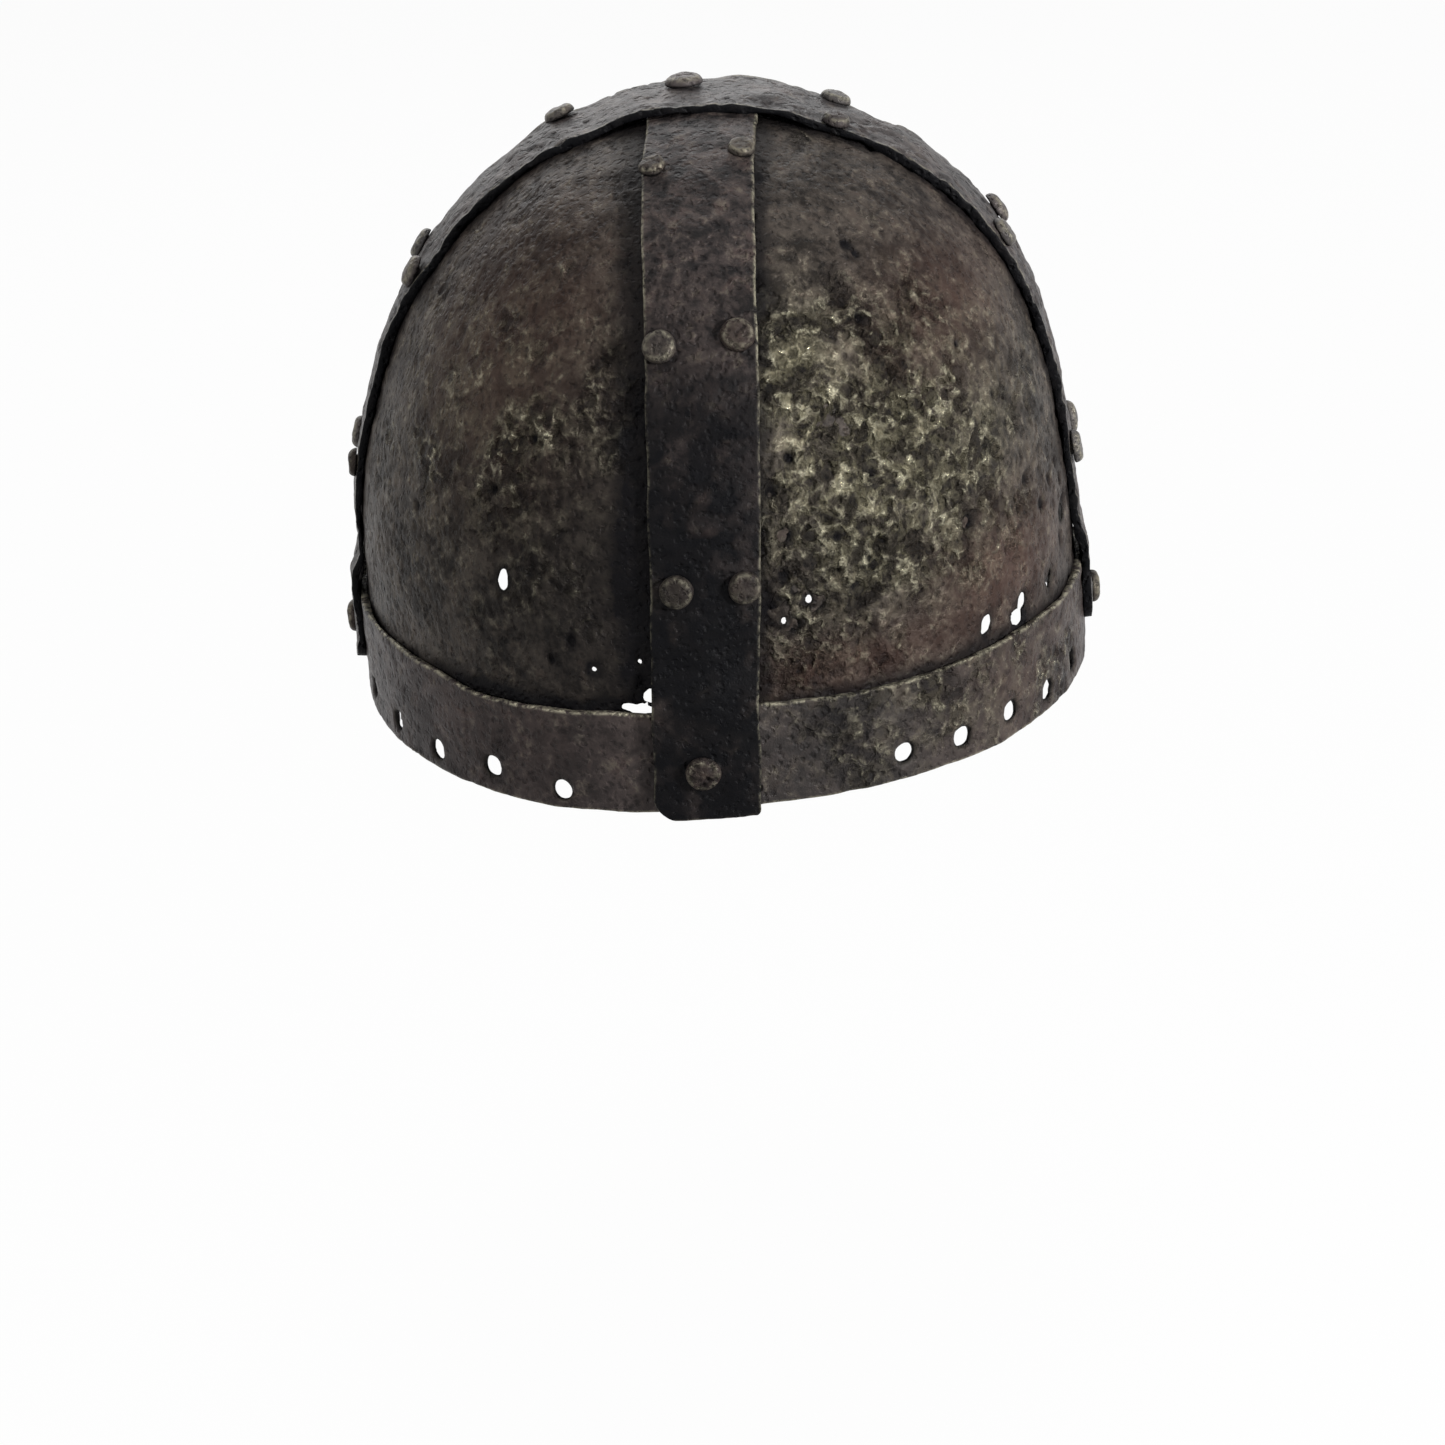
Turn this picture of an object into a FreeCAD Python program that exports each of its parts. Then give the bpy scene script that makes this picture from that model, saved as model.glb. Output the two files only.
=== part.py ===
import FreeCAD, Part

import math
import os

from FreeCAD import Vector

# Riveted iron helmet with a nose bar.
# Four dome plates are held by a brow band, a crown band from ear to ear,
# a rear strap, a front strap and the nose bar, all joined by iron rivets.
# The origin is the middle of the head opening, in the plane of the rim.
# The back faces -Y, the nose bar +Y, and +Z is up. Sizes are in mm and degrees.

# Head space, measured inside the plates
head_half_width = 99.5
head_half_length = 112.0
head_height = 159.0
dome_power = 2.5

# Stock thickness, and the clearance between layers that lap
plate_thickness = 1.8
strap_thickness = 2.0
crown_thickness = 2.3
nasal_thickness = 2.6
lap_clearance = 0.1

# Brow band
brow_height = 28.0

# Plates
plate_bottom_height = 17.0
plate_joint_half_gap = 3.6

# Rear and front straps
strap_half_width_top = 15.0
strap_half_width_foot = 14.2
strap_end_half_gap = 3.0
strap_corner_radius = 4.0
rear_strap_drop = 1.6
front_strap_foot_height = 30.5
joggle_length = 13.0
joggle_lead = 1.0

# Crown band
crown_half_width = 15.8
crown_end_height = 9.0
crown_joggle_length = 18.0
crown_corner_radius = 5.0

# Nose bar
nasal_root_height = 54.0
nasal_root_half_width = 15.4
nasal_root_corner_radius = 4.0
nasal_length = 58.0
nasal_waist_half_width = 11.8
nasal_waist_share = 0.5
nasal_tip_half_width = 13.6
nasal_tip_depth = 7.0
nasal_lean = 7.0

# Rivets
rivet_shank_radius = 2.2
rivet_hole_clearance = 0.1
rivet_seat_clearance = 0.1
rivet_head_radius = 4.7
rivet_head_height = 2.7
rivet_head_round = 1.3
rivet_tail_radius = 3.3
rivet_tail_height = 1.1
rivet_tail_round = 0.8

# Rivet places. Angles go up the arch of a band, and the distances lie across it.
rear_left_rivets = [(74.1, 11.8), (53.5, 10.5), (28.7, 7.0)]
rear_right_rivets = [(76.6, 11.0), (54.4, 9.8), (28.9, 11.0)]
front_rivet_angles = [71.5, 53.5, 32.0]
front_rivet_distance = 10.2
foot_rivet_height = 12.0
foot_rivet_left_distance = 1.6
nasal_foot_rivet_height = 11.7
nasal_pair_height = 42.5
nasal_pair_distance = 8.9
crown_rivet_distance = 10.5
crown_rear_rivet_angles = [31.2, 57.4, 77.6, 124.6, 146.8]
crown_front_rivet_angles = [32.0, 58.0, 77.5, 104.8, 123.8, 146.0]
crown_apex_rivet_angle = 92.2
crown_apex_rivet_distance = 7.0
crown_left_end_rivet_height = 17.0
crown_right_end_rivet_height = 14.0

# Lining holes in the brow band. Each row gives its first angle round from the
# middle of the back, + to the right, its pitch and its number of holes.
lining_hole_radius = 2.85
lining_hole_height = 6.5
lining_hole_rows = [(-23.5, -12.8, 5), (29.4, 10.4, 5), (-110.0, -12.0, 5), (110.0, 12.0, 5)]

# Holes that rust has eaten through the plates. Each row gives the angle round
# from the middle of the back, and then, as shares, the height of its middle
# in the head height, and its width and height in the largest hole.
rust_hole_size = 7.0
rust_hole_shares = [
    (-33.7, 0.371, 0.50, 0.78),
    (-9.8, 0.188, 1.00, 0.62),
    (16.7, 0.346, 0.34, 0.30),
    (47.3, 0.213, 0.42, 0.60),
    (55.4, 0.203, 0.55, 0.95),
    (66.0, 0.216, 0.62, 0.72),
    (75.1, 0.300, 0.36, 0.70),
]

# Construction values
profile_points = 15
points_across = 7
arch_sections = 45
loft_degree = 2
trial_steps = 20
nasal_sections = 7
search_steps = 50
cut_overrun = 6.0
quarter_turn = 90.0
half_turn = 180.0
full_turn = 360.0

plate_outside = plate_thickness
strap_inside = plate_outside + lap_clearance
strap_outside = strap_inside + strap_thickness
foot_inside = strap_outside + lap_clearance
foot_outside = foot_inside + strap_thickness
nasal_outside = foot_inside + nasal_thickness

up = Vector(0, 0, 1)
forward = Vector(0, 1, 0)
rearward = Vector(0, -1, 0)
rightward = Vector(1, 0, 0)
leftward = Vector(-1, 0, 0)


# The dome: every layer is the same rounded form at its own offset from the head space

def half_axes(offset):
    """Half width, half length and height of the dome at a layer's offset."""
    return head_half_width + offset, head_half_length + offset, head_height + offset


def dome_level(point, offset):
    """1 on the dome at this offset, less inside it and more outside it."""
    width, length, height = half_axes(offset)
    plan = math.hypot(point.x / width, point.y / length)
    return plan ** dome_power + abs(point.z / height) ** dome_power


def dome_normal(point, offset):
    """Outward direction of the dome at a point on it."""
    width, length, height = half_axes(offset)
    plan = math.hypot(point.x / width, point.y / length)
    plan_rate = plan ** (dome_power - 2)
    rise = abs(point.z / height) ** (dome_power - 1)
    slope = Vector(point.x * plan_rate / width ** 2, point.y * plan_rate / length ** 2, rise / height)
    return slope.normalize()


def reach(start, direction, offset):
    """Point where a line from inside the dome meets the dome at this offset."""
    low = 0.0
    high = 2 * sum(half_axes(offset))
    for step in range(search_steps):
        middle = (low + high) / 2
        if dome_level(start + direction * middle, offset) < 1:
            low = middle
        else:
            high = middle
    return start + direction * low


def ring_point(angle, height, offset):
    """Point on the dome at an angle round from the middle of the back, + to the right."""
    around = math.radians(angle)
    outward = Vector(head_half_width * math.sin(around), -head_half_length * math.cos(around), 0)
    return reach(up * height, outward.normalize(), offset)


def arch_point(along, angle, across, offset):
    """Point on the dome at an angle up the arch that starts in the level direction along.

    across is the distance square to the arch, + to the left of someone looking along it.
    """
    tilt = math.radians(angle)
    side = up.cross(along)
    return reach(side * across, along * math.cos(tilt) + up * math.sin(tilt), offset)


def arch_angle(along, height, offset):
    """Angle up the arch at which its middle line has this height, below 0 under the rim."""
    place = reach(up * abs(height), along, offset)
    return math.degrees(math.atan2(height, place.dot(along)))


def spread(start, end, count):
    """Evenly spaced values from start to end."""
    return [start + (end - start) * index / (count - 1) for index in range(count)]


def ease(share):
    """Smooth rise from 0 to 1 while the share goes from 0 to 1."""
    share = min(max(share, 0.0), 1.0)
    return share * share * (3 - 2 * share)


def dome_solid(offset):
    """Solid dome at a layer's offset, from below the rim to the apex."""
    width, length, height = half_axes(offset)
    skirt = rear_strap_drop + cut_overrun
    skirt_radius = width * (1 - (skirt / height) ** dome_power) ** (1 / dome_power)
    points = [Vector(skirt_radius, 0, -skirt)]
    for angle in spread(0, math.pi / 2, profile_points):
        radius = width * max(math.cos(angle), 0.0) ** (2 / dome_power)
        points.append(Vector(radius, 0, height * math.sin(angle) ** (2 / dome_power)))
    points[-1].x = 0
    profile = Part.BSplineCurve()
    profile.interpolate(Points=points, InitialTangent=up, FinalTangent=leftward)
    foot = up * -skirt
    edges = [profile.toShape(), Part.makeLine(points[-1], foot), Part.makeLine(foot, points[0])]
    round_dome = Part.Face(Part.Wire(edges)).revolve(Vector(), up, full_turn)
    stretch = FreeCAD.Matrix()
    stretch.scale(Vector(1, length / width, 1))
    return Part.makeSolid(round_dome.transformGeometry(stretch))


def shell(inside, outside):
    """Sheet between two layers of the dome."""
    return dome_solid(outside).cut(dome_solid(inside))


def block(corner, opposite):
    """Box between two opposite corners."""
    low = Vector(*[min(pair) for pair in zip(corner, opposite)])
    high = Vector(*[max(pair) for pair in zip(corner, opposite)])
    return Part.makeBox(*(high - low), low)


def only_solid(shape):
    """The one solid of a shape, or an error when a cut has left another number of them."""
    if len(shape.Solids) != 1:
        raise ValueError("expected one solid, got " + str(len(shape.Solids)))
    return shape.Solids[0]


# Bands: a lofted sheet that follows the dome, trimmed to a straight-sided outline

def smooth_edge(points):
    """Edge through a row of points."""
    curve = Part.BSplineCurve()
    curve.interpolate(Points=points)
    return curve.toShape()


def cross_section(inner, outer):
    """Closed wire round a sheet's cross-section, from its inner and its outer row of points."""
    return Part.Wire([
        smooth_edge(inner),
        Part.makeLine(inner[-1], outer[-1]),
        smooth_edge(outer[::-1]),
        Part.makeLine(outer[0], inner[0]),
    ])


def arch_section(along, angle, half_width, inside, thickness):
    """Cross-section of a band at an angle up its arch."""
    distances = spread(-half_width, half_width, points_across)
    inner = [arch_point(along, angle, across, inside) for across in distances]
    outer = [arch_point(along, angle, across, inside + thickness) for across in distances]
    return cross_section(inner, outer)


def banded(sections):
    """Sheet through a row of cross-sections, of a low degree so that it doesn't overshoot them."""
    return Part.makeLoft(sections, True, False, False, loft_degree)


def band_outline(along, start, top, foot, half_width_top, half_width_foot, radius):
    """Prism along a level direction over a band's outline, which has rounded lower corners."""
    side = up.cross(along)
    bulge = radius * math.sqrt(0.5)
    chains = []
    for hand in (side, side * -1):
        shoulder = hand * half_width_foot + up * (foot + radius)
        chains.append([
            hand * half_width_top + up * top,
            shoulder,
            shoulder - hand * (radius - bulge) - up * bulge,
            shoulder - hand * radius - up * radius,
        ])
    left, right = [[point + along * start for point in chain] for chain in chains]
    edges = [
        Part.makeLine(right[0], left[0]),
        Part.makeLine(left[0], left[1]),
        Part.Arc(left[1], left[2], left[3]).toShape(),
        Part.makeLine(left[3], right[3]),
        Part.Arc(right[3], right[2], right[1]).toShape(),
        Part.makeLine(right[1], right[0]),
    ]
    return Part.Face(Part.Wire(edges)).extrude(along * (2 * head_half_length - start))


def joggle(distance, length):
    """Offset of a band's inner face that steps out over a strap within a length."""
    return foot_inside - lap_step() * ease(distance / length)


def lap_step():
    """How far a band steps out to lap a strap."""
    return foot_inside - strap_inside


def over_brow_inside(height):
    """Offset of the inner face of a band that steps out over the brow band."""
    return joggle(height - brow_height - joggle_lead, joggle_length)


def crown_inside(angle):
    """Offset of the crown band's inner face, which steps over the straps and the brow band."""
    place = arch_point(rightward, angle, 0, strap_inside)
    over_straps = joggle(abs(place.x) - strap_half_width_top - joggle_lead, crown_joggle_length)
    return max(over_straps, over_brow_inside(place.z))


def even_angles(along, first, last, count):
    """Angles up an arch whose points lie evenly spaced along it."""
    trial = spread(first, last, count * trial_steps)
    points = [arch_point(along, angle, 0, strap_inside) for angle in trial]
    gone = [0.0]
    for point, following in zip(points, points[1:]):
        gone.append(gone[-1] + point.distanceToPoint(following))
    angles = []
    for goal in spread(0, gone[-1], count):
        nearest = min(range(len(gone)), key=lambda index: abs(gone[index] - goal))
        angles.append(trial[nearest])
    return angles


def make_rear_strap():
    """Strap down the middle of the back, from under the crown band to below the rim."""
    lowest = arch_angle(rearward, -rear_strap_drop - cut_overrun, strap_inside)
    half_width = strap_half_width_top + cut_overrun
    sections = []
    for angle in even_angles(rearward, lowest, quarter_turn, arch_sections):
        height = arch_point(rearward, angle, 0, strap_inside).z
        inside = over_brow_inside(height)
        sections.append(arch_section(rearward, angle, half_width, inside, strap_thickness))
    outline = band_outline(
        rearward, strap_end_half_gap, head_height + 2 * cut_overrun, -rear_strap_drop,
        strap_half_width_top, strap_half_width_foot, strap_corner_radius,
    )
    return banded(sections).common(outline)


def make_front_strap():
    """Strap down the middle of the front, from under the crown band to above the brow band."""
    outline = band_outline(
        forward, strap_end_half_gap, head_height + 2 * cut_overrun, front_strap_foot_height,
        strap_half_width_top, strap_half_width_foot, strap_corner_radius,
    )
    return shell(strap_inside, strap_outside).common(outline)


def make_crown_band():
    """Band over the crown from ear to ear, whose ends lap the brow band."""
    half_width = crown_half_width + cut_overrun
    lowest = arch_angle(rightward, crown_end_height - cut_overrun, strap_inside)
    sections = [
        arch_section(rightward, angle, half_width, crown_inside(angle), crown_thickness)
        for angle in even_angles(rightward, lowest, half_turn - lowest, 2 * arch_sections)
    ]
    outline = band_outline(
        rightward, -2 * head_half_length, head_height + 2 * cut_overrun, crown_end_height,
        crown_half_width, crown_half_width, crown_corner_radius,
    )
    return banded(sections).common(outline)


def make_brow_band(cutters):
    """Hoop round the head opening, forged into one, with its holes cut a quarter at a time."""
    sheet = shell(strap_inside, strap_outside)
    quarters = []
    for hand in (-1, 1):
        for facing in (-1, 1):
            far = Vector(hand * 2 * head_half_width, facing * 2 * head_half_length, brow_height)
            quarters.append(drilled(sheet.common(block(Vector(), far)), cutters))
    return only_solid(quarters[0].multiFuse(quarters[1:]).removeSplitter())


def make_plate(hand, facing):
    """Quarter of the dome, on the right where hand is 1 and at the front where facing is 1."""
    near = Vector(hand * plate_joint_half_gap, facing * plate_joint_half_gap, plate_bottom_height)
    far = Vector(hand * 2 * head_half_width, facing * 2 * head_half_length, 2 * head_height)
    return shell(0, plate_outside).common(block(near, far))


# Nose bar

def nasal_section(height):
    """Cross-section of the nose bar, which follows the dome and leans out below the rim."""
    half_width = nasal_root_half_width + cut_overrun
    angle = arch_angle(forward, max(height, 0), foot_inside)
    section = arch_section(forward, angle, half_width, foot_inside, nasal_thickness)
    if height < 0:
        section.translate(forward * nasal_lean * (height / nasal_length) ** 2 + up * height)
    return section


def nasal_side(hand):
    """Edges of one side of the nose bar's outline, from its root down to its tip."""
    shoulder = hand * nasal_root_half_width + up * (nasal_root_height - nasal_root_corner_radius)
    bulge = nasal_root_corner_radius * math.sqrt(0.5)
    bend = shoulder - hand * (nasal_root_corner_radius - bulge) + up * bulge
    top = shoulder - hand * nasal_root_corner_radius + up * nasal_root_corner_radius
    rim = hand * nasal_root_half_width
    waist = hand * nasal_waist_half_width - up * nasal_length * nasal_waist_share
    tip = hand * nasal_tip_half_width - up * (nasal_length - nasal_tip_depth)
    flare = Part.BSplineCurve()
    flare.interpolate(Points=[rim, waist, tip], InitialTangent=up * -1, FinalTangent=up * -1)
    edges = [Part.Arc(top, bend, shoulder).toShape(), Part.makeLine(shoulder, rim), flare.toShape()]
    return edges, top, tip


def make_nasal_guard():
    """Nose bar, riveted over the brow band and the foot of the front strap."""
    heights = spread(nasal_root_height + cut_overrun, 0, nasal_sections)
    heights += spread(0, -nasal_length - cut_overrun, nasal_sections)[1:]
    sheet = banded([nasal_section(height) for height in heights])
    right_edges, right_top, right_tip = nasal_side(rightward)
    left_edges, left_top, left_tip = nasal_side(leftward)
    tip_edge = Part.Arc(right_tip, up * -nasal_length, left_tip).toShape()
    top_edge = Part.makeLine(left_top, right_top)
    outline = Part.Wire(Part.__sortEdges__(right_edges + [tip_edge] + left_edges + [top_edge]))
    return sheet.common(Part.Face(outline).extrude(forward * 2 * head_half_length))


# Rivets and holes

def rivet_site(outer, outside, inside):
    """A rivet's place: where its head sits, its outward direction and its grip."""
    normal = dome_normal(outer, outside)
    inner = reach(outer - normal * 2 * nasal_outside, normal, inside)
    return outer, normal, (outer - inner).Length


def rounded_corner(corner, inward, onward, radius):
    """Arc that rounds a corner, from the edge that it came along to the edge that goes on."""
    first = corner + inward * radius
    last = corner + onward * radius
    middle = corner + (inward + onward) * radius * (1 - math.sqrt(0.5))
    return first, last, Part.Arc(first, middle, last).toShape()


def make_rivet(site):
    """One rivet with a low flat head outside and a smaller hammered tail inside."""
    outer, normal, grip = site
    seat = up * rivet_seat_clearance
    tail_seat = up * (-grip - rivet_seat_clearance)
    crown = seat + up * rivet_head_height
    tail_end = tail_seat - up * rivet_tail_height
    head = rightward * rivet_head_radius
    shank = rightward * rivet_shank_radius
    tail = rightward * rivet_tail_radius
    head_top, head_rim, head_arc = rounded_corner(crown + head, leftward, up * -1, rivet_head_round)
    tail_rim, tail_top, tail_arc = rounded_corner(tail_end + tail, up, leftward, rivet_tail_round)
    side = [head_rim, seat + head, seat + shank, tail_seat + shank, tail_seat + tail, tail_rim]
    edges = [Part.makeLine(crown, head_top), head_arc]
    edges += [Part.makeLine(first, second) for first, second in zip(side, side[1:])]
    edges += [tail_arc, Part.makeLine(tail_top, tail_end), Part.makeLine(tail_end, crown)]
    body = Part.makeSolid(Part.Face(Part.Wire(edges)).revolve(Vector(), up, full_turn))
    body.Placement = FreeCAD.Placement(outer, FreeCAD.Rotation(up, normal))
    return body


def rivet_cutter(site):
    """Cutter for a rivet's hole through every layer under its head."""
    outer, normal, grip = site
    start = outer - normal * (grip + cut_overrun)
    return Part.makeCylinder(rivet_shank_radius + rivet_hole_clearance, grip + 2 * cut_overrun, start, normal)


def band_sites(along, angle, distances, outside, inside):
    """Rivet sites across a band at one angle up its arch."""
    points = [arch_point(along, angle, distance, outside) for distance in distances]
    return [rivet_site(point, outside, inside) for point in points]


def strap_rear_sites():
    """Sites of the pairs that hold the rear plates to the rear strap."""
    sites = []
    for angle, distance in rear_left_rivets:
        sites += band_sites(rearward, angle, (-distance,), strap_outside, 0)
    for angle, distance in rear_right_rivets:
        sites += band_sites(rearward, angle, (distance,), strap_outside, 0)
    return sites


def strap_front_sites():
    """Sites of the pairs that hold the front plates to the front strap."""
    sites = []
    for angle in front_rivet_angles:
        pair = (-front_rivet_distance, front_rivet_distance)
        sites += band_sites(forward, angle, pair, strap_outside, 0)
    return sites


def nasal_sites():
    """Sites of the nose bar's rivets: a pair above the brow band and one through it."""
    pair_angle = arch_angle(forward, nasal_pair_height, nasal_outside)
    foot_angle = arch_angle(forward, nasal_foot_rivet_height, nasal_outside)
    pair = (-nasal_pair_distance, nasal_pair_distance)
    sites = band_sites(forward, pair_angle, pair, nasal_outside, 0)
    return sites + band_sites(forward, foot_angle, (0,), nasal_outside, strap_inside)


def crown_sites(angles, distance):
    """Sites of one row of the crown band's rivets."""
    sites = []
    for angle in angles:
        outside = crown_inside(angle) + crown_thickness
        sites += band_sites(rightward, angle, (distance,), outside, 0)
    return sites


def crown_end_sites():
    """Sites of the rivets that hold the crown band's ends to the brow band."""
    outside = foot_inside + crown_thickness
    sites = []
    ends = ((leftward, crown_left_end_rivet_height), (rightward, crown_right_end_rivet_height))
    for along, height in ends:
        angle = arch_angle(along, height, outside)
        sites += band_sites(along, angle, (0,), outside, strap_inside)
    return sites


def foot_sites():
    """Site of the rivet that holds the rear strap's foot to the brow band."""
    angle = arch_angle(rearward, foot_rivet_height, foot_outside)
    return band_sites(rearward, angle, (-foot_rivet_left_distance,), foot_outside, strap_inside)


def lining_hole_cutters():
    """Cutters for the holes to which a lining is sewn."""
    cutters = []
    for first, pitch, count in lining_hole_rows:
        for index in range(count):
            place = ring_point(first + pitch * index, lining_hole_height, strap_inside)
            outward = dome_normal(place, strap_inside)
            length = strap_thickness + 2 * cut_overrun
            start = place - outward * cut_overrun
            cutters.append(Part.makeCylinder(lining_hole_radius, length, start, outward))
    return cutters


def rust_hole_cutters():
    """Cutters for the oval holes that rust has eaten through the plates."""
    cutters = []
    for angle, height_share, width_share, length_share in rust_hole_shares:
        place = ring_point(angle, height_share * head_height, 0)
        outward = dome_normal(place, 0)
        side = up.cross(outward).normalize()
        oval = FreeCAD.Matrix()
        half_size = rust_hole_size / 2
        depth = plate_thickness + 2 * cut_overrun
        oval.scale(Vector(half_size * width_share, half_size * length_share, depth))
        cutter = Part.makeCylinder(1, 1).transformGeometry(oval)
        turn = FreeCAD.Rotation(side, outward.cross(side), outward, "ZXY")
        cutter.Placement = FreeCAD.Placement(place - outward * cut_overrun, turn)
        cutters.append(cutter)
    return cutters


def drilled(sheet, cutters):
    """A sheet with each hole whose cutter reaches it."""
    touching = [cutter for cutter in cutters if cutter.BoundBox.intersect(sheet.BoundBox)]
    return only_solid(sheet.cut(touching))


def make_nodes():
    """Every piece of the helmet by name, with alike rivets as one group."""
    rivet_sites = {
        "rear_strap_rivets": strap_rear_sites(),
        "rear_strap_foot_rivet": foot_sites(),
        "front_strap_rivets": strap_front_sites(),
        "nasal_rivets": nasal_sites(),
        "crown_band_rear_rivets": crown_sites(crown_rear_rivet_angles, -crown_rivet_distance),
        "crown_band_front_rivets": crown_sites(crown_front_rivet_angles, crown_rivet_distance),
        "crown_apex_rivet": crown_sites([crown_apex_rivet_angle], crown_apex_rivet_distance),
        "crown_end_rivets": crown_end_sites(),
    }
    rivet_holes = [rivet_cutter(site) for sites in rivet_sites.values() for site in sites]
    rust_holes = rust_hole_cutters()
    nodes = {
        "rear_left_plate": drilled(make_plate(-1, -1), rivet_holes + rust_holes),
        "rear_right_plate": drilled(make_plate(1, -1), rivet_holes + rust_holes),
        "front_left_plate": drilled(make_plate(-1, 1), rivet_holes),
        "front_right_plate": drilled(make_plate(1, 1), rivet_holes),
        "brow_band": make_brow_band(rivet_holes + lining_hole_cutters()),
        "crown_band": drilled(make_crown_band(), rivet_holes),
        "rear_strap": drilled(make_rear_strap(), rivet_holes),
        "front_strap": drilled(make_front_strap(), rivet_holes),
        "nasal_guard": drilled(make_nasal_guard(), rivet_holes),
    }
    for name, sites in rivet_sites.items():
        nodes[name] = Part.makeCompound([make_rivet(site) for site in sites])
    return nodes


def write_nodes():
    """Write each piece to its own file."""
    os.makedirs("parts", exist_ok=True)
    for name, shape in make_nodes().items():
        shape.exportStep("parts/" + name + ".step")
        print(name, len(shape.Solids), "solid", round(shape.Volume), "mm3", shape.isValid())


write_nodes()
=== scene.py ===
import logging
import math
from dataclasses import dataclass
from enum import Enum

import bpy
import numpy as np
from mathutils import Matrix, Vector


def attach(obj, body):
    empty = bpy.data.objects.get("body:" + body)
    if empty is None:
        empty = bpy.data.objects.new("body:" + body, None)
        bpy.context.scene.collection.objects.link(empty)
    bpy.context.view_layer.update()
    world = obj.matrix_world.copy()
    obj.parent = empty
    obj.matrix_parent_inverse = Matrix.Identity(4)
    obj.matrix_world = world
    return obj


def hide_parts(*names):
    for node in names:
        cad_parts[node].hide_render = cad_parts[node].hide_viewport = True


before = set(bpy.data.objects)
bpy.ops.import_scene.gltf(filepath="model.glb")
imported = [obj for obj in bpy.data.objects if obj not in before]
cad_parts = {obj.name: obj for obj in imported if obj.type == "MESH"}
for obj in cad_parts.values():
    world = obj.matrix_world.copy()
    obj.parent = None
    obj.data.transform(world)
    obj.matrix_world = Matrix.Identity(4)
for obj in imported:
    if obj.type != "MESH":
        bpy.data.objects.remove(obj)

# Riveted iron helmet with a nose bar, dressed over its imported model.
# Sizes in the classes are millimetres and degrees; meshes are made in metres.
# The origin is the middle of the head opening, the back faces -Y and +Z is up.

log = logging.getLogger("helmet")
MM = 0.001
FAR = 99.0
TINY = 1e-6
RIGHT = np.array([1.0, 0.0, 0.0])
FRONT = np.array([0.0, 1.0, 0.0])
UP = np.array([0.0, 0.0, 1.0])


class Iron(Enum):
    """The record's material slots."""

    PLATE = "plate_iron"
    BAND = "band_iron"
    RIVET = "rivet_iron"


# Noise that shapes the metal

CELL_FACTORS = np.array([73856093, 19349663, 83492791])
SALT_FACTOR, SALT_START = 2654435761, 97
MIX_ROUNDS = ((13, 1274126177), (15, 668265263))
LAST_SHIFT, SHARE_BITS = 16, 0xFFFFFF
OCTAVE_SHIFT = 31.7
MOTTLE_GAIN = 1.6
LUCK_SALT = 7


def cell_share(cells: np.ndarray, salt: int) -> np.ndarray:
    """Random share from 0 to 1 for each lattice cell.

    Args:
        cells: Whole numbers, three to a cell.
        salt: Picks one of many patterns.

    Returns:
        One share for each cell.
    """
    parts = cells * CELL_FACTORS
    mixed = parts[..., 0] ^ parts[..., 1] ^ parts[..., 2] ^ (salt * SALT_FACTOR + SALT_START)
    for shift, factor in MIX_ROUNDS:
        mixed = (mixed ^ (mixed >> shift)) * factor
    return ((mixed ^ (mixed >> LAST_SHIFT)) & SHARE_BITS) / float(SHARE_BITS)


def mottle(points: np.ndarray, size: float, salt: int, octaves: int = 1) -> np.ndarray:
    """Smooth noise, mostly from -1 to 1.

    Args:
        points: Places in millimetres.
        size: Size of its lumps in millimetres.
        salt: Picks one of many patterns.
        octaves: Layers, each half the size and half the strength of the last.

    Returns:
        One value for each place.
    """
    total = np.zeros(len(points))
    strength, weight = 1.0, 0.0
    for octave in range(octaves):
        place = points / (size * 0.5 ** octave) + OCTAVE_SHIFT * octave
        cell = np.floor(place).astype(np.int64)
        part = place - cell
        part = part * part * part * (part * (part * 6 - 15) + 10)
        layer = np.zeros(len(points))
        for corner in np.ndindex(2, 2, 2):
            near = np.array(corner)
            share = np.prod(np.where(near == 1, part, 1 - part), axis=1)
            layer += share * cell_share(cell + near, salt + octave)
        total += strength * (layer * 2 - 1)
        weight += strength
        strength *= 0.5
    return total / weight * MOTTLE_GAIN


def craters(points: np.ndarray, size: float, salt: int) -> tuple[np.ndarray, np.ndarray]:
    """Distance to the nearest of scattered pit centres.

    Args:
        points: Places in millimetres.
        size: Mean distance between pits in millimetres.
        salt: Picks one of many patterns.

    Returns:
        The distance in millimetres, and a random share of that pit.
    """
    place = points / size
    cell = np.floor(place).astype(np.int64)
    nearest = np.full(len(points), FAR)
    luck = np.zeros(len(points))
    for step in np.ndindex(3, 3, 3):
        other = cell + np.array(step) - 1
        centre = other + np.stack([cell_share(other, salt + axis) for axis in range(3)], axis=1)
        gap = np.linalg.norm(place - centre, axis=1)
        luck = np.where(gap < nearest, cell_share(other, salt + LUCK_SALT), luck)
        nearest = np.minimum(nearest, gap)
    return nearest * size, luck


def ease(value: np.ndarray, low: float, high: float) -> np.ndarray:
    """Smooth rise from 0 at low to 1 at high."""
    share = np.clip((value - low) / (high - low), 0.0, 1.0)
    return share * share * (3 - 2 * share)


def close_to(distance: np.ndarray, far: float, full: float = 0.0) -> np.ndarray:
    """Smooth share that is 0 beyond a far distance and 1 up to a full one."""
    return ease(-distance, -far, -full)


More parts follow.
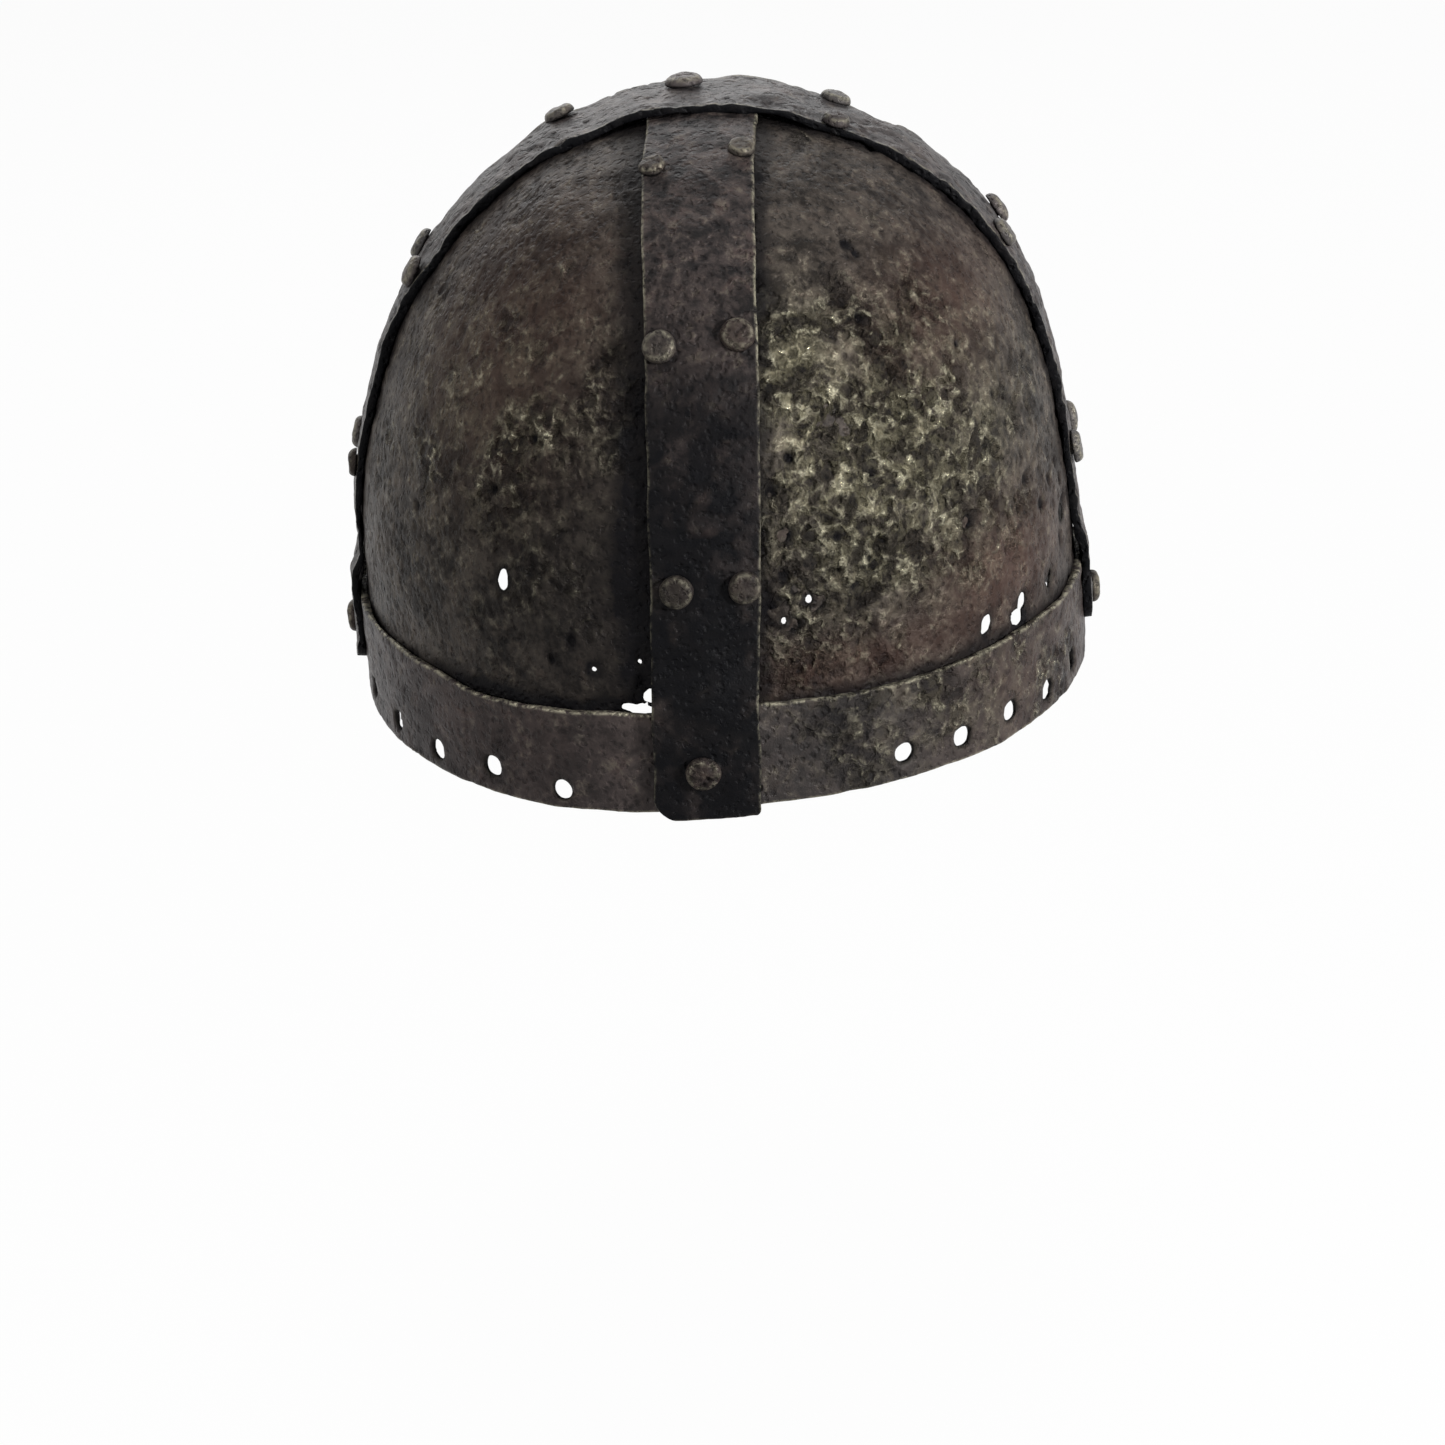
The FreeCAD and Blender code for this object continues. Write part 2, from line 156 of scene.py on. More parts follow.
def worn_drop(distance: np.ndarray, radius: float) -> np.ndarray:
    """How far a rounded edge falls away at a distance in from it, in millimetres."""
    inward = np.clip(radius - np.maximum(distance, 0.0), 0.0, radius)
    return radius - np.sqrt(np.maximum(radius ** 2 - inward ** 2, 0.0))


@dataclass(frozen=True)
class Patch:
    """Soft-edged region of the metal.

    Args:
        centre: Middle in millimetres.
        reach: Reach along x, y and z in millimetres.
        strength: Share at its middle.
    """

    centre: tuple[float, float, float]
    reach: tuple[float, float, float]
    strength: float = 1.0

    def share(self, points: np.ndarray) -> np.ndarray:
        """Share of this region at each place."""
        away = (points - np.array(self.centre)) / np.array(self.reach)
        return self.strength * np.exp(-np.sum(away * away, axis=1))


def together(patches: tuple[Patch, ...], points: np.ndarray) -> np.ndarray:
    """Share of several regions, at most 1, at each place."""
    total = sum((patch.share(points) for patch in patches), np.zeros(len(points)))
    return np.clip(total, 0.0, 1.0)


# The helmet's form

SEARCH_REACH = 300.0
SEARCH_STEPS = 40
LOW_TILTS = np.radians(np.linspace(0.0, 60.0, 1500))


@dataclass(frozen=True)
class Dome:
    """The rounded form that every layer follows at its own offset."""

    half_width: float = 99.5
    half_length: float = 112.0
    height: float = 159.0
    power: float = 2.5

    def ring(self, around: np.ndarray, rise: np.ndarray, offset: np.ndarray | float) -> np.ndarray:
        """Places at angles round from the middle of the back, + to the right.

        Args:
            around: Angles in radians.
            rise: Heights over the rim in millimetres.
            offset: Offset of the layer from the head space.

        Returns:
            One place for each angle.
        """
        outward = np.stack(
            [self.half_width * np.sin(around), -self.half_length * np.cos(around), 0 * around], axis=1
        )
        width, length, height = self.half_width + offset, self.half_length + offset, self.height + offset
        plan = np.maximum(1 - np.abs(rise / height) ** self.power, 0.0) ** (1 / self.power)
        scale = plan / np.hypot(outward[:, 0] / width, outward[:, 1] / length)
        places = outward * scale[:, None]
        places[:, 2] = rise
        return places

    def arch(
        self, along: np.ndarray, tilt: np.ndarray, across: np.ndarray, offset: np.ndarray | float
    ) -> np.ndarray:
        """Places on the arch that starts in the level direction along.

        Args:
            along: Unit direction in which the arch starts.
            tilt: Angles up the arch in radians.
            across: Distances square to the arch, + to the left of one who looks along it.
            offset: Offset of the layer from the head space.

        Returns:
            One place for each angle.
        """
        start = np.cross(UP, along)[None, :] * across[:, None]
        heading = along[None, :] * np.cos(tilt)[:, None] + UP[None, :] * np.sin(tilt)[:, None]
        low = np.zeros(len(tilt))
        high = np.full(len(tilt), SEARCH_REACH)
        for _ in range(SEARCH_STEPS):
            middle = (low + high) / 2
            inside = self.level(start + heading * middle[:, None], offset) < 1
            low = np.where(inside, middle, low)
            high = np.where(inside, high, middle)
        return start + heading * low[:, None]

    def tilt_at(self, along: np.ndarray, rise: np.ndarray | float, offset: float) -> np.ndarray:
        """Angle in radians up the arch in a direction at which a layer has a height."""
        line = self.arch(along, LOW_TILTS, 0 * LOW_TILTS, offset)
        return np.interp(rise, line[:, 2], LOW_TILTS)

    def level(self, points: np.ndarray, offset: np.ndarray | float) -> np.ndarray:
        """1 on the layer, less inside it and more outside it."""
        plan = np.hypot(points[:, 0] / (self.half_width + offset), points[:, 1] / (self.half_length + offset))
        return plan ** self.power + np.abs(points[:, 2] / (self.height + offset)) ** self.power

    def outward(self, points: np.ndarray) -> np.ndarray:
        """Outward direction of the dome.

        Args:
            points: Places near it, in millimetres.

        Returns:
            One unit direction for each place.
        """
        plan = np.hypot(points[:, 0] / self.half_width, points[:, 1] / self.half_length)
        rate = np.maximum(plan, TINY) ** (self.power - 2)
        rise = np.sign(points[:, 2]) * np.abs(points[:, 2] / self.height) ** (self.power - 1)
        slope = np.stack(
            [
                points[:, 0] * rate / self.half_width ** 2,
                points[:, 1] * rate / self.half_length ** 2,
                rise / self.height,
            ],
            axis=1,
        )
        return slope / np.linalg.norm(slope, axis=1)[:, None]

    def axes_at(self, place: np.ndarray) -> np.ndarray:
        """Unit directions to the right, up and outward at one place near the dome."""
        outward = self.outward(place[None, :])[0]
        side = np.cross(UP, outward)
        side /= np.linalg.norm(side)
        return np.stack([side, np.cross(outward, side), outward])


@dataclass(frozen=True)
class Forging:
    """How far the hand-made helmet departs from its even form, the same for every piece.

    Args:
        lean: How far the crown leans to the right, in millimetres.
        lean_heights: Heights between which it starts to lean.
        rear_shift: Shift of the middle of the back, + to the right.
        rear_reach: How far out and how deep that shift is felt.
        rear_power: How sharply it falls off to the sides.
        tip: Lift of the right shoulder; the left one drops by as much.
        tip_reach: Distance out and height at which the lift is that large.
        lump: Height of slow lumps all over.
        lump_size: Their size.
        swell: Angles up the arch from ear to ear, with how far the dome stands out there.
        swell_reach: How far to the front and back, and from which height, the swell is felt.
        salt: Picks the pattern of the lumps.
    """

    lean: float = 4.4
    lean_heights: tuple[float, float] = (45.0, 151.0)
    rear_shift: float = -3.4
    rear_reach: tuple[float, float] = (104.0, 70.0)
    rear_power: float = 1.5
    tip: float = -3.0
    tip_reach: tuple[float, float] = (100.0, 160.0)
    lump: float = 0.4
    lump_size: float = 62.0
    swell: tuple[tuple[float, float], ...] = (
        (0.0, 0.0), (20.0, 0.6), (30.0, 1.8), (44.0, 2.6), (51.0, 2.9), (56.0, 2.6), (61.0, 1.7),
        (66.0, 1.2), (71.0, 0.8), (75.0, 0.1), (80.0, 0.1), (84.0, 0.3), (88.0, 1.0), (92.5, 0.8),
        (97.0, 0.6), (102.0, 0.3), (106.0, 1.1), (111.0, 0.5), (117.0, 0.9), (121.0, 1.6),
        (124.5, 2.6), (130.0, 3.3), (137.0, 2.8), (145.0, 2.6), (152.0, 2.2), (158.0, 1.2), (180.0, 0.0),
    )
    swell_reach: tuple[float, float] = (75.0, 40.0)
    salt: int = 11

    def bend(self, points: np.ndarray) -> np.ndarray:
        """Move places as the forging moved them.

        Args:
            points: Places on the even form, in millimetres.

        Returns:
            The places on the real one.
        """
        x, y, z = points[:, 0], points[:, 1], points[:, 2]
        rear = np.clip(1 - (x / self.rear_reach[0]) ** 2, 0.0, 1.0) ** self.rear_power
        move = np.zeros_like(points)
        move[:, 0] = self.lean * ease(z, *self.lean_heights)
        move[:, 0] += self.rear_shift * (rear * ease(-y, 0.0, self.rear_reach[1]))
        move[:, 2] = self.tip * (x / self.tip_reach[0]) * np.clip(z / self.tip_reach[1], 0.0, 1.0)
        angles, heights = np.array(self.swell).T
        swell = np.interp(np.degrees(np.arctan2(np.maximum(z, 0.0), x)), angles, heights)
        swell = swell * np.exp(-((y / self.swell_reach[0]) ** 2)) * ease(z, 0.0, self.swell_reach[1])
        radial = swell + mottle(points, self.lump_size, self.salt) * self.lump
        return points + (move + radial[:, None] * points / np.linalg.norm(points, axis=1)[:, None])


DOME = Dome()
FORGING = Forging()


@dataclass(frozen=True)
class Stock:
    """Thickness of the iron, and the offsets of its layers from the head space."""

    plate: float = 1.8
    strap: float = 2.0
    crown: float = 2.3
    nasal: float = 2.6
    clearance: float = 0.1

    @property
    def strap_inside(self) -> float:
        """Offset of a strap's inner face on the plates."""
        return self.plate + self.clearance

    @property
    def strap_outside(self) -> float:
        """Offset of a strap's outer face."""
        return self.strap_inside + self.strap

    @property
    def lap_inside(self) -> float:
        """Offset of the inner face of a piece that laps a strap."""
        return self.strap_outside + self.clearance


STOCK = Stock()


def lengths_along(line: np.ndarray) -> np.ndarray:
    """Length of a line of places up to each of them."""
    return np.concatenate([[0.0], np.cumsum(np.linalg.norm(np.diff(line, axis=0), axis=1))])


# Mesh work

END_WIDTH = 0.9
END_STEPS = (0.0, 0.1, 0.32, 0.62)


def edge_steps(length: float, step: float, start: float = 0.0) -> np.ndarray:
    """Places along a length, closer together near both ends, where its edges are worn.

    Args:
        length: The length in millimetres.
        step: Distance between places in millimetres.
        start: Value of the first place.

    Returns:
        The places, from start on.
    """
    ends = np.array(END_STEPS) * END_WIDTH
    count = max(2, round((length - 2 * END_WIDTH) / step) + 1)
    middle = np.linspace(END_WIDTH, length - END_WIDTH, count)
    return start + np.concatenate([ends, middle, length - ends[::-1]])


def deselect_all() -> None:
    """Leave object mode's selection empty, because an operator acts on all that is selected."""
    if bpy.context.object and bpy.context.object.mode != "OBJECT":
        bpy.ops.object.mode_set(mode="OBJECT")
    bpy.ops.object.select_all(action="DESELECT")


def select_only(*pieces: bpy.types.Object) -> None:
    """Select these pieces and nothing else, the first of them as the active one."""
    deselect_all()
    for piece in pieces:
        piece.select_set(True)
    bpy.context.view_layer.objects.active = pieces[0]


def places_of(piece: bpy.types.Object) -> np.ndarray:
    """Vertex places of a mesh, in metres."""
    flat = np.empty(len(piece.data.vertices) * 3)
    piece.data.vertices.foreach_get("co", flat)
    return flat.reshape(-1, 3)


def move_to(piece: bpy.types.Object, places: np.ndarray) -> None:
    """Put a mesh's vertices at places in metres."""
    piece.data.vertices.foreach_set("co", np.ascontiguousarray(places, dtype=np.float64).ravel())
    piece.data.update()


def keep(piece: bpy.types.Object, name: str, values: np.ndarray) -> None:
    """Keep values on a mesh's vertices, as numbers or as vectors.

    Args:
        piece: The mesh object.
        name: Name of the attribute.
        values: One number or three for each vertex.
    """
    flat = values.ndim == 1
    kind = "FLOAT" if flat else "FLOAT_VECTOR"
    layer = piece.data.attributes.get(name) or piece.data.attributes.new(name, kind, "POINT")
    layer.data.foreach_set("value" if flat else "vector", np.ascontiguousarray(values).ravel())


def kept(piece: bpy.types.Object, name: str) -> np.ndarray:
    """Read values that keep() left on a mesh's vertices.

    Args:
        piece: The mesh object.
        name: Name of the attribute.

    Returns:
        One number or three for each vertex.
    """
    layer = piece.data.attributes[name]
    flat = layer.data_type == "FLOAT"
    values = np.empty(len(piece.data.vertices) * (1 if flat else 3))
    layer.data.foreach_get("value" if flat else "vector", values)
    return values if flat else values.reshape(-1, 3)


def apply_modifier(piece: bpy.types.Object, kind: str, **settings: object) -> None:
    """Add a modifier to a piece and apply it.

    Args:
        piece: The mesh object.
        kind: The modifier's type.
        **settings: Its settings.
    """
    select_only(piece)
    modifier = piece.modifiers.new(kind.title(), kind)
    for key, value in settings.items():
        setattr(modifier, key, value)
    bpy.ops.object.modifier_apply(modifier=modifier.name)


def pick_faces(piece: bpy.types.Object, chosen: np.ndarray) -> None:
    """Enter edit mode with just the chosen faces selected.

    Args:
        piece: The mesh object.
        chosen: Whether each face is selected.
    """
    select_only(piece)
    bpy.ops.object.mode_set(mode="EDIT")
    bpy.ops.mesh.select_mode(type="FACE")
    bpy.ops.mesh.select_all(action="DESELECT")
    bpy.ops.object.mode_set(mode="OBJECT")
    piece.data.polygons.foreach_set("select", chosen.astype(bool))
    bpy.ops.object.mode_set(mode="EDIT")


# Place to the right and up, half width, half height and turn in degrees
Oval = tuple[float, float, float, float, float]
NUDGE = 0.02
SNAP_ROUNDS = 4
LEAST_SLOPE = 0.2


@dataclass(frozen=True)
class Opening:
    """Outline of a hole through a sheet, as one or more ovals that run together.

    Args:
        centre: Place on the sheet in millimetres, before the forging.
        ovals: For each oval its place to the right and up, its half sizes and its turn in degrees.
        ragged: How far rust has eaten its edge, in millimetres.
        salt: Picks the pattern of the ragged edge.
        notch: Size of the notches in the ragged edge.
        reach: Distance within which the metal round it is looked at.
        depth: The same, square to the sheet.
    """

    centre: tuple[float, float, float]
    ovals: tuple[Oval, ...]
    ragged: float = 0.0
    salt: int = 3
    notch: float = 2.1
    reach: float = 16.0
    depth: float = 6.0

    def local(self, points: np.ndarray) -> tuple[np.ndarray, np.ndarray]:
        """Turn places into distances from the middle of the hole.

        Args:
            points: Places in millimetres.

        Returns:
            The distances to the right, up and outward, and these three directions.
        """
        centre = np.array(self.centre)
        axes = DOME.axes_at(centre)
        return (points - centre) @ axes.T, axes

    def around(self, points: np.ndarray) -> tuple[np.ndarray, np.ndarray]:
        """Find the places near the hole.

        Args:
            points: Places in millimetres.

        Returns:
            Whether each place is near it, and the near ones as places in its plane.
        """
        places, _ = self.local(points)
        close = (np.abs(places[:, 2]) < self.depth) & (np.hypot(places[:, 0], places[:, 1]) < self.reach)
        return close, places[close][:, :2]

    def distance(self, flat: np.ndarray) -> np.ndarray:
        """Measure how far places lie outside the hole's edge.

        Args:
            flat: Places in its plane.

        Returns:
            Distances in millimetres, less than 0 in the hole.
        """
        nearest = np.full(len(flat), FAR)
        for right, rise, half_width, half_height, turn in self.ovals:
            angle = math.radians(turn)
            x, y = flat[:, 0] - right, flat[:, 1] - rise
            along = (x * math.cos(angle) + y * math.sin(angle)) / half_width
            over = (y * math.cos(angle) - x * math.sin(angle)) / half_height
            radius = np.hypot(along, over)
            slope = np.hypot(along / half_width, over / half_height) / np.maximum(radius, TINY)
            nearest = np.minimum(nearest, (radius - 1) / np.maximum(slope, TINY))
        spots = np.stack([flat[:, 0], flat[:, 1], 0 * flat[:, 0]], axis=1)
        return nearest + self.ragged * mottle(spots, self.notch, self.salt, 2)

    def snapped(self, points: np.ndarray) -> np.ndarray:
        """Move places in the sheet's plane onto the hole's edge, by Newton's steps.

        Args:
            points: Places in millimetres.

        Returns:
            The moved places.
        """
        places, axes = self.local(points)
        flat = places[:, :2].copy()
        for _ in range(SNAP_ROUNDS):
            here = self.distance(flat)
            slope = np.stack([self.distance(flat + step) - here for step in np.eye(2) * NUDGE], axis=1) / NUDGE
            flat -= slope * (here / np.maximum(np.sum(slope * slope, axis=1), LEAST_SLOPE))[:, None]
        return points + (flat - places[:, :2]) @ axes[:2]


# For each layer that bends the pits: its share of their size, its own size in
# theirs, its salt and its octaves
PIT_BENDS = ((0.42, 1.5, 40, 1), (0.2, 0.5, 50, 2))
PIT_REACH = (0.34, 0.45)
PIT_WALL = 0.55
PIT_CHANCE = (0.12, 0.3)
DENT_CEILING = 0.35
CREASE_STRETCH = np.array([0.5, 0.5, 1.3])
CREASE_SIZE = 5.0
PITTED_AREA = 15.0
EATEN_AREA = 12.0
EATEN_DEPTH = 0.1
SMALL_CRATER = (0.62, 0.6)
GRIT_SIZE = 1.9
GRIT_HEIGHT = (0.05, 0.16)


@dataclass
class Relief:
    """Relief of a surface, place by place.

    Args:
        height: Height in millimetres, + outward.
        hollow: Share of a pit's bottom.
        raised: Share of a worn ridge between craters.
        eaten: Share of rust that has eaten the surface.
    """

    height: np.ndarray
    hollow: np.ndarray
    raised: np.ndarray
    eaten: np.ndarray


@dataclass(frozen=True)
class Wear:
    """How rust and hammering have marked one piece.

    Args:
        dent: Depth of the hammer dents in millimetres.
        dent_size: Their size.
        pit: Depth of the small pits.
        pit_size: Distance between them.
        crater: Depth of the large craters where a patch asks for them.
        crater_size: Distance between them.
        crease: Depth of the level creases that forging left.
        edge: Radius to which its edges are worn.
        salt: Picks the pattern.
    """

    dent: float = 0.3
    dent_size: float = 24.0
    pit: float = 0.26
    pit_size: float = 3.2
    crater: float = 1.0
    crater_size: float = 5.4
    crease: float = 0.15
    edge: float = 0.7
    salt: int = 1

    def bowls(self, points: np.ndarray, size: float, salt: int) -> np.ndarray:
        """Ragged round pits of mixed sizes, the smallest of which are left out.

        Args:
            points: Places in millimetres.
            size: Mean distance between the pits.
            salt: Picks the pattern.

        Returns:
            Share of the full depth at each place.
        """
        bend = np.stack(
            [
                sum(
                    share * size * mottle(points, width * size, salt + shift + axis, octaves)
                    for share, width, shift, octaves in PIT_BENDS
                )
                for axis in range(3)
            ],
            axis=1,
        )
        near, luck = craters(points + bend, size, salt)
        reach = size * (PIT_REACH[0] + PIT_REACH[1] * luck)
        return ease(1 - near / reach, 0.0, PIT_WALL) * ease(luck, *PIT_CHANCE) * (0.5 + 0.5 * luck)

    def relief(self, points: np.ndarray, cratered: np.ndarray) -> Relief:
        """Work out the relief of a surface.

        Args:
            points: Places in millimetres.
            cratered: Share of the deep craters at each place.

        Returns:
            Its relief at each place.
        """
        height = self.dent * np.minimum(mottle(points, self.dent_size, self.salt + 2, 2), DENT_CEILING)
        height += self.crease * mottle(points * CREASE_STRETCH, CREASE_SIZE, self.salt + 5, 2)
        patchy = ease(mottle(points, PITTED_AREA, self.salt + 9, 2), -0.75, 0.45)
        small = self.bowls(points, self.pit_size, self.salt + 3) * patchy
        large = np.zeros(len(points))
        eaten = np.zeros(len(points))
        if cratered.any():
            ragged = mottle(points, EATEN_AREA, self.salt + 23, 3)
            eaten = ease(cratered + 0.5 * ragged, 0.15, 0.75)
            size, depth = SMALL_CRATER
            large = np.maximum(
                self.bowls(points, self.crater_size, self.salt + 15),
                depth * self.bowls(points, size * self.crater_size, self.salt + 19),
            )
        grit = mottle(points, GRIT_SIZE, self.salt + 31)
        height -= self.pit * small + eaten * (EATEN_DEPTH + self.crater * large)
        height += (GRIT_HEIGHT[0] + GRIT_HEIGHT[1] * eaten) * grit
        hollow = np.clip(0.7 * small + eaten * large * 1.2, 0.0, 1.0)
        raised = np.clip(eaten * close_to(large, 0.25, 0.02) * (0.6 + 0.5 * grit), 0.0, 1.0)
        return Relief(height, hollow, raised, eaten)


@dataclass
class Skins:
    """Both faces of a sheet before the forging, and the distance in from its outline."""

    outer: np.ndarray
    inner: np.ndarray
    margin: np.ndarray


# Moves the pattern of the inner face away from that of the outer one
INSIDE_SHIFT = 400.0
THINNED_REACH = 4.5
# Distances in from a cut edge at which its painted shade ends and is full, and the same
# for the pale line inside it, worn metal with a painted highlight
EDGE_SHADE = (0.85, 0.3)
EDGE_LINE = (1.5, 0.6)
INSIDE_SOOT = 0.2


@dataclass
class Sheet:
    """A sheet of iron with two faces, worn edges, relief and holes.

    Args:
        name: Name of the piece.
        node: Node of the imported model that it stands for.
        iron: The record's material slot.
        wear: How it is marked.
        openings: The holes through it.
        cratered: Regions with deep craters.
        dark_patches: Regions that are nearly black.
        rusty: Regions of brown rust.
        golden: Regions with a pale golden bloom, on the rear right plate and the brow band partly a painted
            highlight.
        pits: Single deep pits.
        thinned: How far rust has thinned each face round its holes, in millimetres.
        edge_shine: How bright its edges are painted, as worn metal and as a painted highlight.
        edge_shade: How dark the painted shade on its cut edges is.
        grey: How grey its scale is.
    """

    name: str
    node: str
    iron: Iron
    wear: Wear
    openings: tuple[Opening, ...] = ()
    cratered: tuple[Patch, ...] = ()
    dark_patches: tuple[Patch, ...] = ()
    rusty: tuple[Patch, ...] = ()
    golden: tuple[Patch, ...] = ()
    pits: tuple[Patch, ...] = ()
    thinned: float = 0.0
    edge_shine: float = 0.6
    edge_shade: float = 0.0
    grey: float = 0.0

    def lines(self) -> tuple[np.ndarray, np.ndarray]:
        """Places of the blank's lines across and along the piece."""
        raise NotImplementedError

    def skins(self, across: np.ndarray, along: np.ndarray) -> Skins:
        """Both faces at places across and along the piece."""
        raise NotImplementedError

    def soot_and_shade(self, points: np.ndarray) -> np.ndarray:
        """Share of dirt and painted shade at each place of the outer face."""
        return together(self.dark_patches, points)

    def blank(self, columns: int, rows: int) -> bpy.types.Object:
        """Cut a flat blank from a grid.

        Args:
            columns: Faces across it.
            rows: Faces along it.

        Returns:
            The blank.
        """
        deselect_all()
        bpy.ops.mesh.primitive_grid_add(x_subdivisions=columns, y_subdivisions=rows, size=2)
        return bpy.context.object

    def line_numbers(self, piece: bpy.types.Object, columns: int, rows: int) -> tuple[np.ndarray, np.ndarray]:
        """Number the lines of the blank.

        Args:
            piece: The blank.
            columns: Faces across it.
            rows: Faces along it.

        Returns:
            The column and the row of each vertex.
        """
        places = places_of(piece)
        column = np.rint((places[:, 0] + 1) / 2 * columns).astype(int)
        row = np.rint((places[:, 1] + 1) / 2 * rows).astype(int)
        return column, row

    def cut_openings(self, piece: bpy.types.Object, skins: Skins) -> np.ndarray:
        """Cut the holes and pull the metal round them onto their outlines.

        Args:
            piece: The blank.
            skins: Both faces, whose places next to a hole are moved.

        Returns:
            Distance of each vertex from the nearest hole in millimetres.
        """
        mesh = piece.data
        corners = np.empty(len(mesh.loops), dtype=np.int64)
        mesh.loops.foreach_get("vertex_index", corners)
        corners = corners.reshape(-1, 4)
        middles = skins.outer[corners].mean(axis=1)
        lost = np.zeros(len(corners), dtype=bool)
        clear = np.full(len(skins.outer), FAR)
        for opening in self.openings:
            close, flat = opening.around(middles)
            if not close.any():
                continue
            gone = np.zeros(len(corners), dtype=bool)
            gone[close] = opening.distance(flat) < 0
            inside = np.zeros(len(skins.outer), dtype=bool)
            inside[corners[gone].ravel()] = True
            outside = np.zeros(len(skins.outer), dtype=bool)
            outside[corners[~gone].ravel()] = True
            rim = inside & outside
            skins.outer[rim] = opening.snapped(skins.outer[rim])
            skins.inner[rim] = opening.snapped(skins.inner[rim])
            close, flat = opening.around(skins.outer)
            clear[close] = np.minimum(clear[close], opening.distance(flat))
            clear[rim] = 0.0
            lost |= gone
        if lost.any():
            keep(piece, "inner", skins.inner)
            keep(piece, "margin", skins.margin)
            keep(piece, "clear", clear)
            move_to(piece, skins.outer)
            pick_faces(piece, lost)
            bpy.ops.mesh.delete(type="FACE")
            bpy.ops.object.mode_set(mode="OBJECT")
            skins.outer = places_of(piece)
            skins.inner = kept(piece, "inner")
            skins.margin = kept(piece, "margin")
            clear = kept(piece, "clear")
            for name in ("inner", "margin", "clear"):
                piece.data.attributes.remove(piece.data.attributes[name])
        return clear

    def build(self) -> bpy.types.Object:
        """Make the sheet's mesh, with its marks kept on its vertices.

        Returns:
            The finished piece, riding on the helmet's one body.
        """
        across, along = self.lines()
        columns, rows = len(across) - 1, len(along) - 1
        piece = self.blank(columns, rows)
        piece.name = self.name
        column, row = self.line_numbers(piece, columns, rows)
        skins = self.skins(across[column], along[row])
        clear = self.cut_openings(piece, skins)
        outer, inner, marks = self.weathered(skins, clear)
        move_to(piece, FORGING.bend(outer) * MM)
        self.face_outward(piece)
        apply_modifier(piece, "SOLIDIFY", thickness=STOCK.strap * MM, offset=-1.0)
        both = np.concatenate([FORGING.bend(outer), FORGING.bend(inner)])
        assert len(both) == len(piece.data.vertices), self.name
        move_to(piece, both * MM)
        for name, values in marks.items():
            keep(piece, name, values)
        settle(piece, self.iron, self.node)
        return piece

    def weathered(self, skins: Skins, clear: np.ndarray) -> tuple[np.ndarray, np.ndarray, dict[str, np.ndarray]]:
        """Wear both faces down, and say how each place looks.

        Args:
            skins: Both faces, with their holes cut.
            clear: Distance of each vertex from the nearest hole in millimetres.

        Returns:
            The worn outer face, the worn inner face, and the marks on the two by name.
        """
        outward = skins.outer - skins.inner
        outward /= np.linalg.norm(outward, axis=1)[:, None]
        shown = self.wear.relief(skins.outer, together(self.cratered, skins.outer))
        hidden = self.wear.relief(skins.inner + INSIDE_SHIFT, np.zeros(len(clear)))
        edge = skins.margin
        drop = worn_drop(edge, self.wear.edge)
        hole_drop = np.maximum(worn_drop(clear, self.wear.edge), self.thinned * close_to(clear, THINNED_REACH))
        deep = together(self.pits, skins.outer)
        outer = skins.outer + outward * (shown.height - drop - hole_drop - deep)[:, None]
        inner = skins.inner - outward * (hidden.height - 0.5 * drop - hole_drop)[:, None]
        # Painted shade on the cut edge's wall and just inside it; the line inside that is worn metal with a
        # painted highlight
        cut = self.edge_shade * close_to(edge, *EDGE_SHADE)
        line = close_to(edge, *EDGE_LINE) * (self.edge_shade > 0)
        # Worn edges painted pale, partly as a painted highlight
        rim = np.maximum(close_to(edge, 1.5 * self.wear.edge), line) * (1 - cut)
        shine = self.edge_shine * np.maximum(rim, 0.2 * close_to(clear, 1.0))
        # Painted shade on the walls of the holes, and darker rust round the rust-thinned holes
        through = np.maximum(0.6 * close_to(clear, 2.5) * (self.thinned > 0), 0.85 * close_to(clear, 0.6))
        # Dirt, with painted shade in the corners by the bands, on cut edges and on hole walls, and the dark of
        # deep pits
        soot_and_shade = np.clip(self.soot_and_shade(skins.outer) + cut + deep + through, 0.0, 1.0)
        none = np.zeros(len(clear))
        marks = {
            "hollow": (shown.hollow, hidden.hollow),
            "worn": (shown.raised, 0.5 * hidden.raised),
            "edge": (shine, 0.5 * shine),
            "eaten": (shown.eaten, none),
            "soot_and_shade": (soot_and_shade, np.maximum(INSIDE_SOOT, np.maximum(cut, through))),
            "grey": (none + self.grey, none + self.grey),
            "rust": (together(self.rusty, skins.outer),) * 2,
            "gold": (together(self.golden, skins.outer), none),
        }
        return outer, inner, {name: np.concatenate(faces) for name, faces in marks.items()}

    def face_outward(self, piece: bpy.types.Object) -> None:
        """Turn the sheet's faces away from the head."""
        normals = np.empty(len(piece.data.polygons) * 3)
        middles = np.empty(len(piece.data.polygons) * 3)
        piece.data.polygons.foreach_get("normal", normals)
        piece.data.polygons.foreach_get("center", middles)
        if np.sum(normals * middles) < 0:
            pick_faces(piece, np.ones(len(piece.data.polygons), dtype=bool))
            bpy.ops.mesh.flip_normals()
            bpy.ops.object.mode_set(mode="OBJECT")


def settle(piece: bpy.types.Object, iron: Iron, node: str) -> None:
    """Smooth a piece, and give it its body, its node and its finish.

    Args:
        piece: The finished mesh.
        iron: The record's material slot.
        node: The node that it stands for.
    """
    piece.data.polygons.foreach_set("use_smooth", np.ones(len(piece.data.polygons), dtype=bool))
    piece.data.materials.clear()
    piece.data.materials.append(FINISHES[iron].material())
    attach(piece, "root")
    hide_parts(node)


# Sheets of the helmet


SAMPLES = 2000


